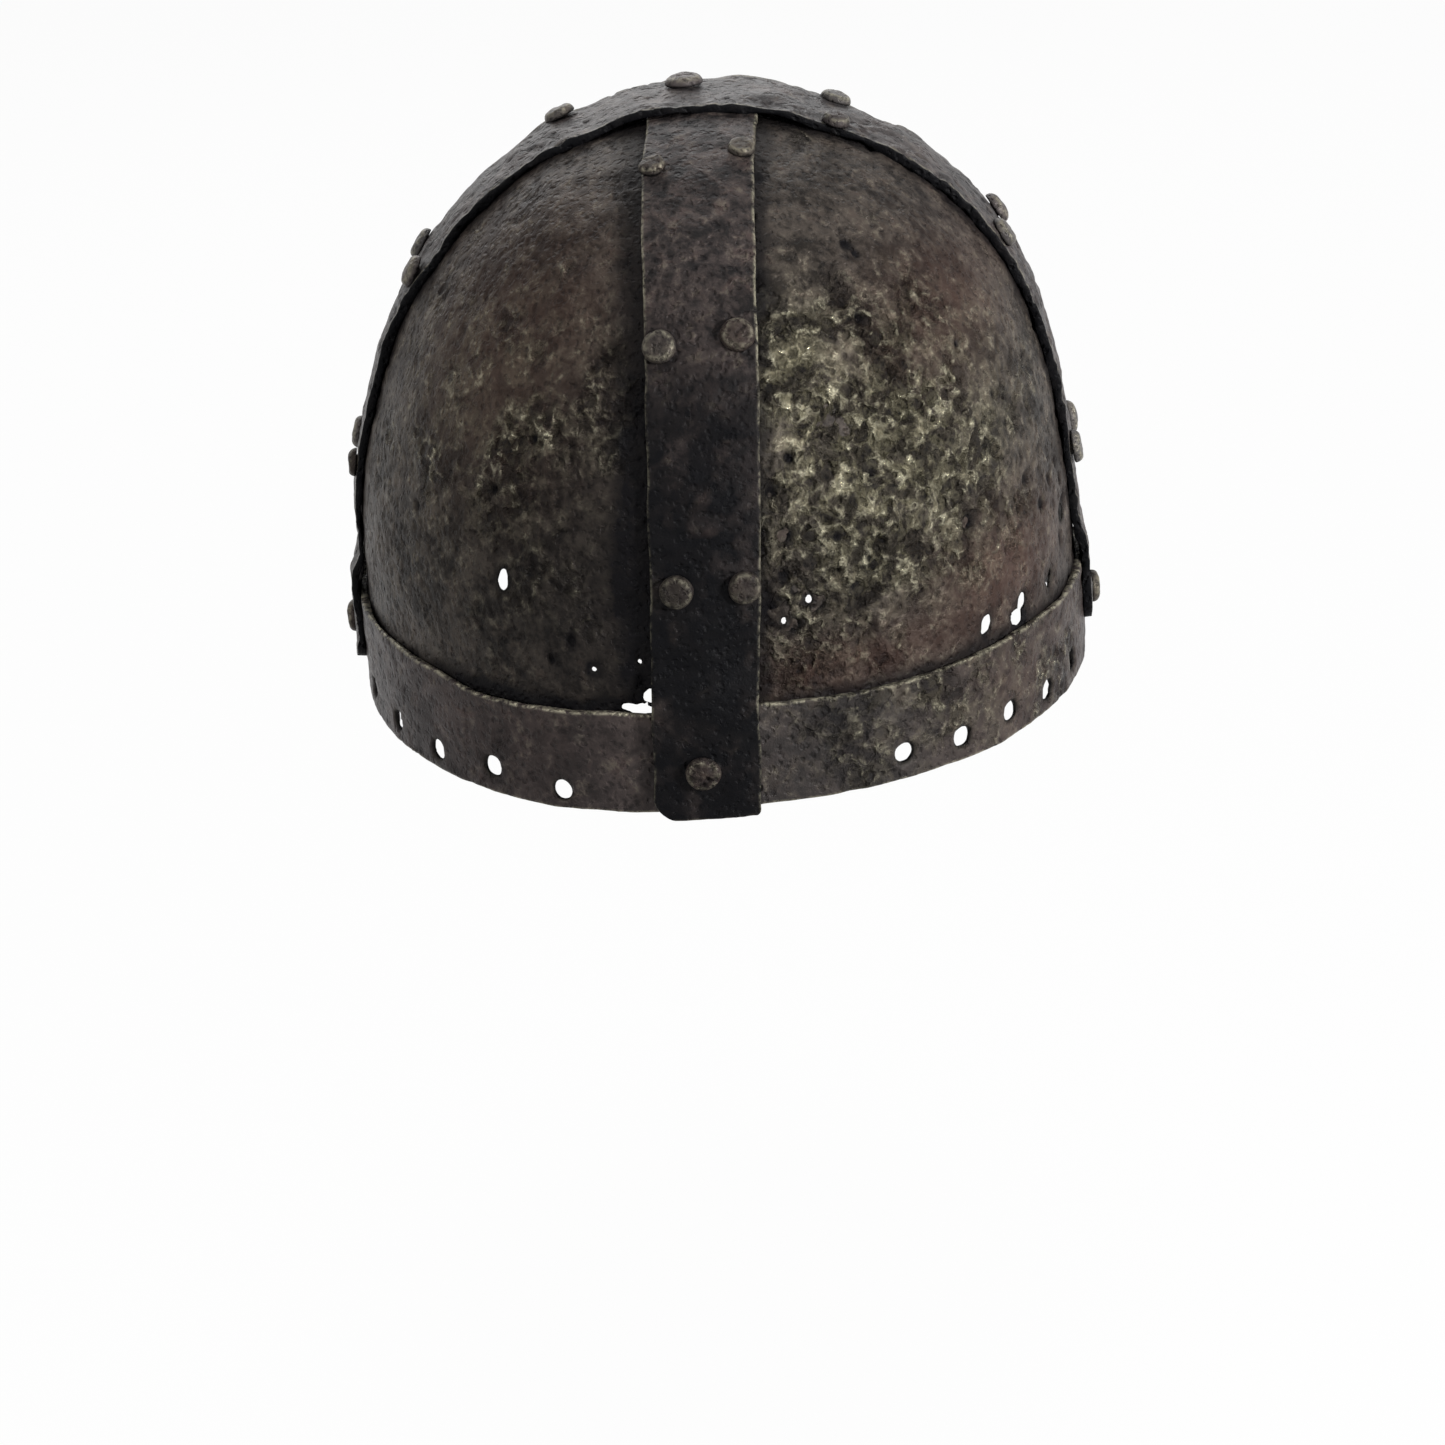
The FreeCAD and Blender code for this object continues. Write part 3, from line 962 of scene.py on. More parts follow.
@dataclass
class DomePlate(Sheet):
    """Quarter of the dome, between the brow band, a strap and the crown band.

    Args:
        hand: 1 on the right, -1 on the left.
        facing: 1 at the front, -1 at the back.
        strap_shade: Distance from the middle plane up to which painted shade lies beside the strap.
        half_gap: Half the gap between two plates, under a band.
        foot: Height of its lower edge.
        seen_from: Height from which the bands show it.
        hidden_top: Length at its top that the crown band hides.
        top_radius: Distance of its upper end from the helmet's axis.
        gauge_angle: Angle round, in radians, at which its lines are spaced.
        hidden_lines: Number of lines in the hidden lower and upper parts.
        step: Distance between lines elsewhere.
    """

    hand: int = 1
    facing: int = -1
    strap_shade: float = 21.0
    half_gap: float = 3.6
    foot: float = 17.0
    seen_from: float = 26.0
    hidden_top: float = 12.0
    top_radius: float = 7.0
    gauge_angle: float = 0.75
    hidden_lines: tuple[int, int] = (5, 6)
    step: float = 0.8

    def lines(self) -> tuple[np.ndarray, np.ndarray]:
        """Shares of the way round the quarter, and heights up it."""
        rise = np.sin(np.linspace(0, math.pi / 2, SAMPLES)) ** (2 / DOME.power)
        heights = rise * (DOME.height + STOCK.plate)
        rear = DOME.ring(np.full(len(heights), self.gauge_angle), heights, STOCK.plate)
        gone = lengths_along(rear)
        shown = np.interp(self.seen_from, heights, gone)
        end = np.interp(0.0, -np.hypot(rear[:, 0], rear[:, 1]) + self.top_radius, gone)
        low = np.linspace(np.interp(self.foot, heights, gone), shown, self.hidden_lines[0])[:-1]
        middle = np.arange(shown, end - self.hidden_top, self.step)
        high = np.linspace(middle[-1] + self.step, end, self.hidden_lines[1])
        along = np.interp(np.concatenate([low, middle, high]), gone, heights)
        quarter = math.pi / 4 * (DOME.half_width + DOME.half_length)
        return np.linspace(0.0, 1.0, round(quarter / self.step) + 1), along

    def skins(self, across: np.ndarray, along: np.ndarray) -> Skins:
        """Both faces of the plate."""
        far = DOME.ring(np.zeros(len(along)), along, STOCK.plate)
        side = DOME.ring(np.full(len(along), math.pi / 2), along, STOCK.plate)
        first = np.arcsin(np.clip(self.half_gap / side[:, 0], 0, 1))
        last = np.arccos(np.clip(self.half_gap / -far[:, 1], 0, 1))
        turn = first + (last - first) * across
        spot = np.stack([side[:, 0] * np.sin(turn), -far[:, 1] * -np.cos(turn), along], axis=1)
        around = np.arctan2(spot[:, 0] / DOME.half_width, -spot[:, 1] / DOME.half_length)
        outer = DOME.ring(around, along, STOCK.plate)
        inner = outer - DOME.outward(outer) * STOCK.plate
        flip = np.array([self.hand, -self.facing, 1.0])
        return Skins(outer * flip, inner * flip, np.minimum(along - self.foot, FAR))

    def soot_and_shade(self, points: np.ndarray) -> np.ndarray:
        """Painted shade in the corners that the plate makes with the bands round it."""
        ragged = 2.5 * mottle(points, 7.0, self.wear.salt + 81, 3)
        strap = close_to(np.abs(points[:, 0]) - ragged, self.strap_shade, 15.5)
        crown = close_to(np.abs(points[:, 1]) - ragged, 21.0, 16.0)
        brow = close_to(points[:, 2] - 0.5 * ragged, 33.0, 28.5)
        return np.maximum(np.maximum(strap, crown), brow) * 0.8 + together(self.dark_patches, points)


@dataclass
class BrowBand(Sheet):
    """Closed hoop round the head opening.

    Args:
        height: Its height in millimetres.
        step: Distance between its lines.
        top_wave: Angles round from the middle of the back, with how far its upper edge rises there.
        low_wave: The same for its lower edge.
        unseen: Angles between which the measured waves give way to others at the front.
        gauge_radius: Radius of the ring on which the small waves are taken.
    """

    height: float = 28.0
    step: float = 0.95
    top_wave: tuple[tuple[float, float], ...] = (
        (-90.0, 0.3), (-68.0, 0.9), (-57.0, 1.2), (-48.0, 0.7), (-41.0, -0.6), (-36.0, -1.1), (-28.0, -0.85),
        (-21.0, -0.7), (-15.0, 0.0), (-9.0, -0.3), (8.5, 1.1), (14.5, 0.7), (21.0, 0.0), (27.0, -0.3),
        (34.0, -0.15), (45.0, 0.3), (52.0, 0.35), (60.0, 0.1), (67.0, -0.5), (90.0, 0.0),
    )
    low_wave: tuple[tuple[float, float], ...] = (
        (-90.0, 0.0), (-46.0, 0.0), (-35.0, -0.3), (-25.0, -0.7), (-17.0, 0.1), (-12.0, -0.3), (9.0, 0.8),
        (16.0, 0.6), (24.0, 0.1), (37.0, 0.0), (47.0, -0.7), (60.0, -0.4), (90.0, 0.0),
    )
    unseen: tuple[float, float] = (80.0, 95.0)
    gauge_radius: float = 105.0

    def lines(self) -> tuple[np.ndarray, np.ndarray]:
        """Angles round the hoop, and heights up it."""
        count = round(math.pi * (DOME.half_width + DOME.half_length + 7) / self.step)
        return np.linspace(0, 2 * math.pi, count, endpoint=False), edge_steps(self.height, self.step)

    def blank(self, columns: int, rows: int) -> bpy.types.Object:
        """Draw a tube up from a circle.

        Args:
            columns: Faces round it, less one.
            rows: Faces up it.

        Returns:
            The tube.
        """
        deselect_all()
        bpy.ops.mesh.primitive_circle_add(vertices=columns + 1, radius=1.0)
        bpy.ops.object.mode_set(mode="EDIT")
        bpy.ops.mesh.select_mode(type="EDGE")
        bpy.ops.mesh.select_all(action="SELECT")
        for _ in range(rows):
            bpy.ops.mesh.extrude_region_move(TRANSFORM_OT_translate={"value": (0, 0, 1)})
        bpy.ops.object.mode_set(mode="OBJECT")
        return bpy.context.object

    def line_numbers(self, piece: bpy.types.Object, columns: int, rows: int) -> tuple[np.ndarray, np.ndarray]:
        """Number the lines of the tube.

        Args:
            piece: The tube.
            columns: Faces round it, less one.
            rows: Faces up it.

        Returns:
            The column and the row of each vertex.
        """
        places = places_of(piece)
        turn = np.arctan2(places[:, 1], places[:, 0]) / (2 * math.pi) * (columns + 1)
        return np.rint(turn).astype(int) % (columns + 1), np.rint(places[:, 2]).astype(int)

    def skins(self, across: np.ndarray, along: np.ndarray) -> Skins:
        """Both faces of the hoop, with a slightly wavy upper and lower edge."""
        ring = np.stack([np.sin(across), np.cos(across), 0 * across], axis=1) * self.gauge_radius
        turn = (np.degrees(across) + 180) % 360 - 180
        far = ease(np.abs(turn), *self.unseen)
        angles, rises = np.array(self.top_wave).T
        top = np.interp(turn, angles, rises) + (0.15 + 0.4 * far) * mottle(ring, 12.0, 71, 3)
        angles, rises = np.array(self.low_wave).T
        low = np.interp(turn, angles, rises) + (0.15 + 0.35 * far) * mottle(ring, 14.0, 75, 3)
        share = along / self.height
        rise = along + top * share + low * (1 - share)
        outer = DOME.ring(across, rise, STOCK.strap_outside)
        inner = DOME.ring(across, rise, STOCK.strap_inside)
        return Skins(outer, inner, np.minimum(along, self.height - along))


ARCH_SAMPLES = 3000
ARCH_TILTS = (-12.0, 192.0)


@dataclass
class Band(Sheet):
    """Band over the dome, straight-sided and with rounded ends.

    Args:
        heading: Level direction in which its arch starts.
        half_width: Half its width in millimetres.
        foot_half_width: The same at its foot.
        first_height: Height of its foot over the rim.
        last_height: Distance of its other end from the helmet's axis.
        whole_arch: Whether it runs on over the crown to the same height.
        thickness: Its thickness.
        corner: Radii of the left and right corners of its ends.
        wave: How far its sides waver.
        wave_size: Length of that wave.
        step: Distance between its lines.
        course: Heights, with how far to the right its middle lies there.
    """

    heading: tuple[float, float, float] = (1.0, 0.0, 0.0)
    half_width: float = 15.0
    foot_half_width: float = 15.0
    first_height: float = 0.0
    last_height: float = 0.0
    whole_arch: bool = False
    thickness: float = 2.0
    corner: tuple[float, float] = (4.0, 4.0)
    wave: float = 0.35
    wave_size: float = 13.0
    step: float = 0.8
    course: tuple[tuple[float, float], ...] = ((0.0, 0.0),)

    def tilts(self) -> tuple[np.ndarray, np.ndarray]:
        """Lengths up the band at its ends, and a table of lengths with the angle up the arch at each."""
        along = np.array(self.heading)
        low, high = ARCH_TILTS
        tilt = np.radians(np.linspace(low, high if self.whole_arch else 90.0, ARCH_SAMPLES))
        line = DOME.arch(along, tilt, 0 * tilt, STOCK.strap_inside)
        gone = lengths_along(line)
        rising = tilt < math.pi / 2
        start = np.interp(self.first_height, line[rising][:, 2], gone[rising])
        end = gone[-1] - start if self.whole_arch else np.interp(-self.last_height, -(line @ along), gone)
        return np.array([start, end]), np.stack([gone, tilt])

    def lines(self) -> tuple[np.ndarray, np.ndarray]:
        """Shares across the band from -1 to 1, and lengths up it."""
        (start, end), _ = self.tilts()
        across = edge_steps(2 * self.half_width, self.step, -self.half_width) / self.half_width
        return across, edge_steps(end - start, self.step, start)

    def inside(self, places: np.ndarray) -> np.ndarray:
        """Offset of the band's inner face where it passes places of its middle line."""
        return np.full(len(places), STOCK.strap_inside)

    def skins(self, across: np.ndarray, along: np.ndarray) -> Skins:
        """Both faces of the band."""
        (start, end), (gone, tilts) = self.tilts()
        heading = np.array(self.heading)
        tilt = np.interp(along, gone, tilts)
        middle = DOME.arch(heading, tilt, 0 * tilt, STOCK.strap_inside)
        share = np.clip((along - start) / (end - start), 0, 1)
        spread = 2 * np.minimum(share, 1 - share) if self.whole_arch else share
        half = self.foot_half_width + (self.half_width - self.foot_half_width) * np.minimum(2 * spread, 1)
        salt = self.wear.salt
        left_wave = mottle(middle + 50, self.wave_size, salt + 51, 3) * self.wave
        right_wave = mottle(middle + 90, self.wave_size, salt + 61, 3) * self.wave
        ends = np.minimum(along - start, end - along)
        left_corner, right_corner = (worn_drop(ends, radius) for radius in self.corner)
        is_right = across > 0
        wobble = np.where(is_right, right_wave, left_wave) * np.abs(across)
        corner = np.where(is_right, right_corner, left_corner)
        heights, places = np.array(self.course).T
        sideways = across * (half - corner) + wobble + np.interp(middle[:, 2], heights, places)
        inside = self.inside(middle)
        inner = DOME.arch(heading, tilt, sideways, inside)
        outer = DOME.arch(heading, tilt, sideways, inside + self.thickness)
        return Skins(outer, inner, np.minimum(ends, (1 - np.abs(across)) * self.half_width))


def joggle(distance: np.ndarray, length: float) -> np.ndarray:
    """Offset of the inner face of a band that steps out over a strap within a length."""
    return STOCK.lap_inside - (STOCK.lap_inside - STOCK.strap_inside) * ease(distance / length, 0.0, 1.0)


@dataclass
class RearStrap(Band):
    """Strap down the back, whose foot steps out over the brow band.

    Args:
        lap_height: Height up to which it lies on the brow band.
        joggle_length: Length in which it steps out.
        dark_below: Height below which dirt covers it.
        dark_fade: Height over which the dirt comes in.
    """

    lap_height: float = 29.0
    joggle_length: float = 13.0
    dark_below: float = 116.0
    dark_fade: float = 48.0

    def inside(self, places: np.ndarray) -> np.ndarray:
        """Offset of the inner face."""
        return joggle(places[:, 2] - self.lap_height, self.joggle_length)

    def soot_and_shade(self, points: np.ndarray) -> np.ndarray:
        """Uneven dirt that covers the strap's lower two thirds."""
        ragged = 6.0 * mottle(points, 12.0, self.wear.salt + 81, 3)
        cover = np.clip(0.92 + 0.5 * mottle(points, 6.0, self.wear.salt + 83, 3), 0.4, 1.0)
        fade = self.dark_fade / 2
        return cover * close_to(points[:, 2] - ragged, self.dark_below + fade, self.dark_below - fade)


@dataclass
class CrownBand(Band):
    """Band from ear to ear, which steps out over the straps and the brow band.

    Args:
        lap_height: Height up to which it lies on the brow band.
        lap_width: Distance from the middle up to which it lies on the straps.
        joggle_length: Length in which it steps out over the brow band.
        crown_joggle_length: The same over the straps.
    """

    lap_height: float = 29.0
    lap_width: float = 16.0
    joggle_length: float = 13.0
    crown_joggle_length: float = 18.0

    def inside(self, places: np.ndarray) -> np.ndarray:
        """Offset of the inner face."""
        over_straps = joggle(np.abs(places[:, 0]) - self.lap_width, self.crown_joggle_length)
        return np.maximum(over_straps, joggle(places[:, 2] - self.lap_height, self.joggle_length))


@dataclass
class NoseBar(Sheet):
    """Nose bar, riveted over the brow band and the foot of the front strap.

    Args:
        root_height: Height of its upper end over the rim.
        root_half_width: Half its width there.
        waist_half_width: Half its width at its narrowest.
        tip_half_width: Half its width above its rounded tip.
        tip_depth: Height of the rounded tip.
        length: How far it hangs below the rim.
        lean: How far its tip stands forward.
        corner: Radius of its upper corners.
        thickness: Its thickness.
        step: Distance between its lines.
    """

    root_height: float = 54.0
    root_half_width: float = 15.4
    waist_half_width: float = 11.8
    tip_half_width: float = 13.6
    tip_depth: float = 9.5
    length: float = 58.0
    lean: float = 7.0
    corner: float = 4.0
    thickness: float = STOCK.nasal
    step: float = 0.8

    def lines(self) -> tuple[np.ndarray, np.ndarray]:
        """Shares across the bar from -1 to 1, and shares down it."""
        across = edge_steps(2 * self.root_half_width, self.step, -self.root_half_width)
        whole = self.root_height + self.length
        return across / self.root_half_width, edge_steps(whole, self.step) / whole

    def skins(self, across: np.ndarray, along: np.ndarray) -> Skins:
        """Both faces of the bar, which hangs straight down below the rim and then leans forward."""
        straight = self.root_height - along * (self.root_height + self.length)
        waist = ease(-straight, 0.0, self.length / 2)
        flare = ease(-straight, self.length / 2, self.length - self.tip_depth)
        half = self.root_half_width + (self.waist_half_width - self.root_half_width) * waist
        half = half + (self.tip_half_width - self.waist_half_width) * flare
        top_gap = self.root_height - straight
        sideways = across * (half - worn_drop(top_gap, self.corner))
        radius = (self.tip_half_width ** 2 + self.tip_depth ** 2) / (2 * self.tip_depth)
        rise = radius - np.sqrt(radius ** 2 - np.minimum(np.abs(sideways), radius) ** 2)
        height = straight + np.clip(-straight / self.length, 0.0, 1.0) ** 2 * rise
        tilt = DOME.tilt_at(FRONT, np.maximum(height, 0.0), STOCK.lap_inside)
        below = np.minimum(height, 0.0)
        hang = FRONT[None, :] * (self.lean * (below / self.length) ** 2)[:, None] + UP * below[:, None]
        inner = DOME.arch(FRONT, tilt, sideways, STOCK.lap_inside) + hang
        outer = DOME.arch(FRONT, tilt, sideways, STOCK.lap_inside + self.thickness) + hang
        end_gap = np.minimum(top_gap, np.maximum(height + self.length - rise, 0))
        return Skins(outer, inner, np.minimum(end_gap, (1 - np.abs(across)) * half))


# Rivets

GRIP = 1.0
# Height in millimetres and share of the radius, up the rim of a head
HEAD_RIM = ((0.35, 1.0), (0.8, 0.995))
# Share of the height and share of the radius, over the crown of a head
HEAD_CROWN = (
    (0.5, 0.965), (0.72, 0.89), (0.87, 0.78), (0.95, 0.65), (0.985, 0.5), (1.0, 0.36), (1.0, 0.22), (1.0, 0.1),
)
# Distance in from the sheet and share of the radius, over a tail
TAIL = ((0.0, 0.95), (0.3, 1.0), (0.75, 0.86), (1.1, 0.55), (1.1, 0.2))
LOBES = (2, 3, 4, 5, 7)


@dataclass(frozen=True)
class RivetSite:
    """Where a rivet sits.

    Args:
        place: Middle of its seat in millimetres, before the forging.
        grip: Thickness that it holds together.
        size: Size of its head against the usual one.
        tilt: Tilt of its head in degrees, across and along.
        flat: How hammered down it is.
        pitted: Depth of the pits in its head in millimetres.
        sunk: How far its rim is rusted away at one side in millimetres.
        grey: How grey its scale is.
        soot_and_shade: How dirty it is.
    """

    place: tuple[float, float, float]
    grip: float
    size: float = 1.0
    tilt: tuple[float, float] = (0.0, 0.0)
    flat: float = 0.0
    pitted: float = 0.25
    sunk: float = 0.0
    grey: float = 0.15
    soot_and_shade: float = 0.0


@dataclass
class RivetRow:
    """Rivets of one node: a hammered head outside, a shank and a smaller tail inside.

    Args:
        name: Name of the piece.
        node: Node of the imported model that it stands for.
        sites: Where its rivets sit.
        salt: Picks how each of them differs.
        sides: Number of sides of the round parts.
        shank: Radius of the shank in millimetres.
        head: Radius of the head.
        head_height: Its height over the sheet.
        tail: Radius of the tail.
        seat: Gap between the sheet and both.
        uneven: How far from round a head is.
        dent: Depth of its dents.
        dent_size: Size of its dents.
        pit_size: Distance between its pits.
    """

    name: str
    node: str
    sites: list[RivetSite]
    salt: int = 5
    sides: int = 44
    shank: float = 2.2
    head: float = 4.7
    head_height: float = 2.7
    tail: float = 3.3
    seat: float = 0.1
    uneven: float = 0.035
    dent: float = 0.3
    dent_size: float = 3.4
    pit_size: float = 2.3

    def grow(self, height: float, radius: float, last: tuple[float, float]) -> tuple[float, float]:
        """Draw the picked end face on to a new height and radius.

        Args:
            height: The new height in millimetres.
            radius: The new radius in millimetres.
            last: Height and radius of the face before.

        Returns:
            The new height and radius.
        """
        bpy.ops.mesh.extrude_region_move(TRANSFORM_OT_translate={"value": (0, 0, (height - last[0]) * MM)})
        scale = radius / last[1]
        bpy.ops.transform.resize(value=(scale, scale, 1.0), center_override=(0, 0, height * MM))
        return height, radius

    def pattern(self) -> bpy.types.Object:
        """Model one rivet at the origin, its head up, with a grip of one millimetre.

        Returns:
            The rivet.
        """
        deselect_all()
        bpy.ops.mesh.primitive_cylinder_add(
            vertices=self.sides, radius=self.shank * MM, depth=GRIP * MM, location=(0, 0, -0.5 * GRIP * MM)
        )
        rivet = bpy.context.object
        bpy.ops.object.transform_apply(location=True)
        low = -GRIP - self.seat
        head = [(self.seat, self.shank), (self.seat, self.head * 0.97)]
        head += [(height, self.head * share) for height, share in HEAD_RIM]
        head += [(self.head_height * rise, self.head * share) for rise, share in HEAD_CROWN]
        tail = [(low, self.shank)] + [(low - gap, self.tail * share) for gap, share in TAIL]
        for steps, direction, start in ((head, 1, 0.0), (tail, -1, -GRIP)):
            normals = np.array([face.normal.z for face in rivet.data.polygons])
            middles = np.array([face.center.z for face in rivet.data.polygons])
            end = middles.max() if direction > 0 else middles.min()
            pick_faces(rivet, (normals * direction > 0.9) & (np.abs(middles - end) < TINY))
            last = (start, self.shank)
            for height, radius in steps:
                last = self.grow(height, radius, last)
            bpy.ops.mesh.poke()
            bpy.ops.object.mode_set(mode="OBJECT")
        return rivet

    def hammer(self, rivet: bpy.types.Object, site: RivetSite, number: int) -> None:
        """Make one copy its own: uneven round, dented, tilted and set at its place.

        Args:
            rivet: The copy.
            site: Where and how it sits.
            number: Its number in the row.
        """
        rng = np.random.default_rng(self.salt * 100 + number)
        places = places_of(rivet) / MM
        is_tail = places[:, 2] < -0.5 * GRIP
        on_head = places[:, 2] > self.seat / 2
        places[is_tail, 2] -= site.grip - GRIP
        radius = np.hypot(places[:, 0], places[:, 1])
        turn = np.arctan2(places[:, 1], places[:, 0])
        lobes = sum(
            rng.uniform(0.2, 1.0) * np.cos(count * turn + rng.uniform(0, 6.28)) / count for count in LOBES
        )
        outer = ease(radius, self.shank, self.head)
        stretch = 1 + self.uneven * lobes * outer
        stretch = np.where(on_head, stretch * (1 + (site.size - 1) * outer), stretch)
        places[:, :2] *= stretch[:, None]
        shift = np.array([rng.uniform(-40, 40), rng.uniform(-40, 40), 0.0])
        share = np.clip(places[:, 2] / self.head_height, 0, 1)
        places[:, 2] *= np.where(on_head, 1 - site.flat / self.head_height, 1.0)
        dent = self.dent * mottle(places + shift, self.dent_size, self.salt + number, 2)
        near, luck = craters(places + shift, self.pit_size, self.salt + number + 60)
        pit = np.clip(1 - near / (0.9 + 0.5 * luck), 0, 1)
        places[:, 2] += np.where(on_head, share * (dent - site.pitted * pit), 0.1 * dent * is_tail)
        sunk = places[:, 2] - site.sunk * ease(places[:, 0], 0.5, 4.5) * share
        places[:, 2] = np.where(on_head, np.maximum(sunk, self.seat), places[:, 2])
        lean_right, lean_up = np.tan(np.radians(site.tilt))
        slope = places[:, 0] * lean_right + places[:, 1] * lean_up
        lift = (np.abs(lean_right) + np.abs(lean_up)) * self.head * 0.6
        leaning = (places[:, 2] > self.seat / 2) * np.maximum(slope + lift * share, 0.0)
        places[:, 2] += leaning * np.minimum(share + 0.25, 1)
        seat = np.array(site.place)
        move_to(rivet, (FORGING.bend(seat[None, :]) + places @ DOME.axes_at(seat)) * MM)
        within = close_to(radius, self.head * 0.99, self.head * 0.85)
        # Pale rim of each head, worn metal with a painted highlight
        rim = ease(radius, self.head * 0.55, self.head * 0.8) * within
        marks = {
            "hollow": np.where(on_head, np.clip(pit * site.pitted * 2.5, 0, 1), 0.0),
            "worn": np.where(on_head, 0.25 + 0.5 * rim, 0.1),
            "soot_and_shade": np.where(on_head, np.maximum(site.soot_and_shade, close_to(places[:, 2], 1.1)), 0.3),
            "rust": rng.uniform(0.0, 0.5),
            "gold": rng.uniform(0.0, 0.3),
            "grey": site.grey,
            "edge": np.where(on_head, 0.3 * rim, 0.0),
            "eaten": 0.0,
        }
        for name, values in marks.items():
            keep(rivet, name, np.broadcast_to(values, len(places)))

    def build(self) -> bpy.types.Object:
        """Copy, hammer and gather the rivets of the row.

        Returns:
            The finished piece, riding on the helmet's one body.
        """
        pattern = self.pattern()
        copies = []
        for number, site in enumerate(self.sites):
            rivet = pattern.copy()
            rivet.data = pattern.data.copy()
            bpy.context.collection.objects.link(rivet)
            self.hammer(rivet, site, number)
            copies.append(rivet)
        bpy.data.objects.remove(pattern)
        select_only(*copies)
        if len(copies) > 1:
            bpy.ops.object.join()
        piece = bpy.context.view_layer.objects.active
        piece.name = self.name
        settle(piece, Iron.RIVET, self.node)
        return piece


# Shader maths


class Flow:
    """A socket whose value flows on, and on which Python's operators add Math nodes."""

    def __init__(self, graph: "ShaderGraph", socket: bpy.types.NodeSocket) -> None:
        """Wrap a node's output socket."""
        self.graph = graph
        self.socket = socket

    def math(self, operation: str, *terms: "Flow | float", swap: bool = False) -> "Flow":
        """Add a Math node.

        Args:
            operation: The node's operation.
            *terms: Its other terms.
            swap: Whether this value is the second term.

        Returns:
            The node's result.
        """
        order = (*terms, self) if swap else (self, *terms)
        return self.graph.node("ShaderNodeMath", {"operation": operation}, dict(enumerate(order)))

    def __add__(self, other: "Flow | float") -> "Flow":
        """Sum."""
        return self.math("ADD", other)

    __radd__ = __add__

    def __sub__(self, other: "Flow | float") -> "Flow":
        """Difference."""
        return self.math("SUBTRACT", other)

    def __rsub__(self, other: "Flow | float") -> "Flow":
        """Difference from a number."""
        return self.math("SUBTRACT", other, swap=True)

    def __mul__(self, other: "Flow | float") -> "Flow":
        """Product."""
        return self.math("MULTIPLY", other)

    __rmul__ = __mul__

    def rise(self, low: float, high: float, start: float = 0.0, end: float = 1.0) -> "Flow":
        """Smooth rise from start to end while the value goes from low to high."""
        return self.graph.node(
            "ShaderNodeMapRange",
            {"interpolation_type": "SMOOTHSTEP"},
            {"Value": self, "From Min": low, "From Max": high, "To Min": start, "To Max": end},
        )


class ShaderGraph:
    """The nodes of one material or world."""

    def __init__(self, owner: bpy.types.Material | bpy.types.World) -> None:
        """Start with no nodes."""
        owner.use_nodes = True
        self.owner = owner
        self.tree = owner.node_tree
        self.tree.nodes.clear()

    def node(
        self, kind: str, settings: dict[str, object], inputs: dict[str | int, object], output: str | int = 0
    ) -> Flow | None:
        """Add a node.

        Args:
            kind: The node's type.
            settings: Its settings, set before its sockets.
            inputs: Values or links of its sockets, by name or number.
            output: The output socket that is handed back.

        Returns:
            The chosen output, or None for a node that has none.
        """
        made = self.tree.nodes.new(kind)
        for key, value in settings.items():
            setattr(made, key, value)
        for key, value in inputs.items():
            if isinstance(value, Flow):
                self.tree.links.new(value.socket, made.inputs[key])
            else:
                made.inputs[key].default_value = value
        return Flow(self, made.outputs[output]) if made.outputs else None

    def mark(self, name: str) -> Flow:
        """A value kept on the mesh's vertices."""
        return self.node("ShaderNodeAttribute", {"attribute_name": name}, {}, "Fac")

    def ray(self, kind: str) -> Flow:
        """1 for rays of a kind and 0 for others."""
        return self.node("ShaderNodeLightPath", {}, {}, kind)

    def place(self) -> Flow:
        """The object's own coordinates."""
        return self.node("ShaderNodeTexCoord", {}, {}, "Object")

    def mottle(self, place: Flow, size: float, detail: float, rough: float, bend: float = 0.0) -> Flow:
        """Noise.

        Args:
            place: Coordinates in metres.
            size: Size of its lumps in millimetres.
            detail: Number of finer layers.
            rough: Strength of each finer layer in the last one's.
            bend: How far it is distorted.

        Returns:
            Values from 0 to 1.
        """
        return self.node(
            "ShaderNodeTexNoise",
            {"noise_dimensions": "3D"},
            {"Vector": place, "Scale": 1 / (size * MM), "Detail": detail, "Roughness": rough, "Distortion": bend},
            "Fac",
        )

    def cells(self, place: Flow, size: float, output: str = "Distance") -> Flow:
        """Scattered pits.

        Args:
            place: Coordinates in metres.
            size: Distance between them in millimetres.
            output: Distance for the distance to the nearest, Color for a random value of it.

        Returns:
            The distance as a share of the size, or the random value.
        """
        return self.node(
            "ShaderNodeTexVoronoi",
            {"voronoi_dimensions": "3D", "feature": "F1"},
            {"Vector": place, "Scale": 1 / (size * MM), "Randomness": 1.0},
            output,
        )

    def blend(self, share: Flow, first: object, second: object) -> Flow:
        """Colour that goes from the first to the second."""
        settings = {"data_type": "RGBA", "blend_type": "MIX", "clamp_factor": True}
        return self.node("ShaderNodeMix", settings, {0: share, 6: first, 7: second}, 2)


# Red, green, blue and alpha
Tone = tuple[float, float, float, float]
WHITE: Tone = (1.0, 1.0, 1.0, 1.0)


def tone(red: float, green: float, blue: float) -> Tone:
    """Make a colour as it looks, from 0 to 255, linear by the sRGB curve.

    Args:
        red: Its red part.
        green: Its green part.
        blue: Its blue part.

    Returns:
        The linear colour, opaque.
    """
    linear = [
        part / 12.92 if part <= 0.04045 else ((part + 0.055) / 1.055) ** 2.4
        for part in (red / 255, green / 255, blue / 255)
    ]
    return (*linear, 1.0)


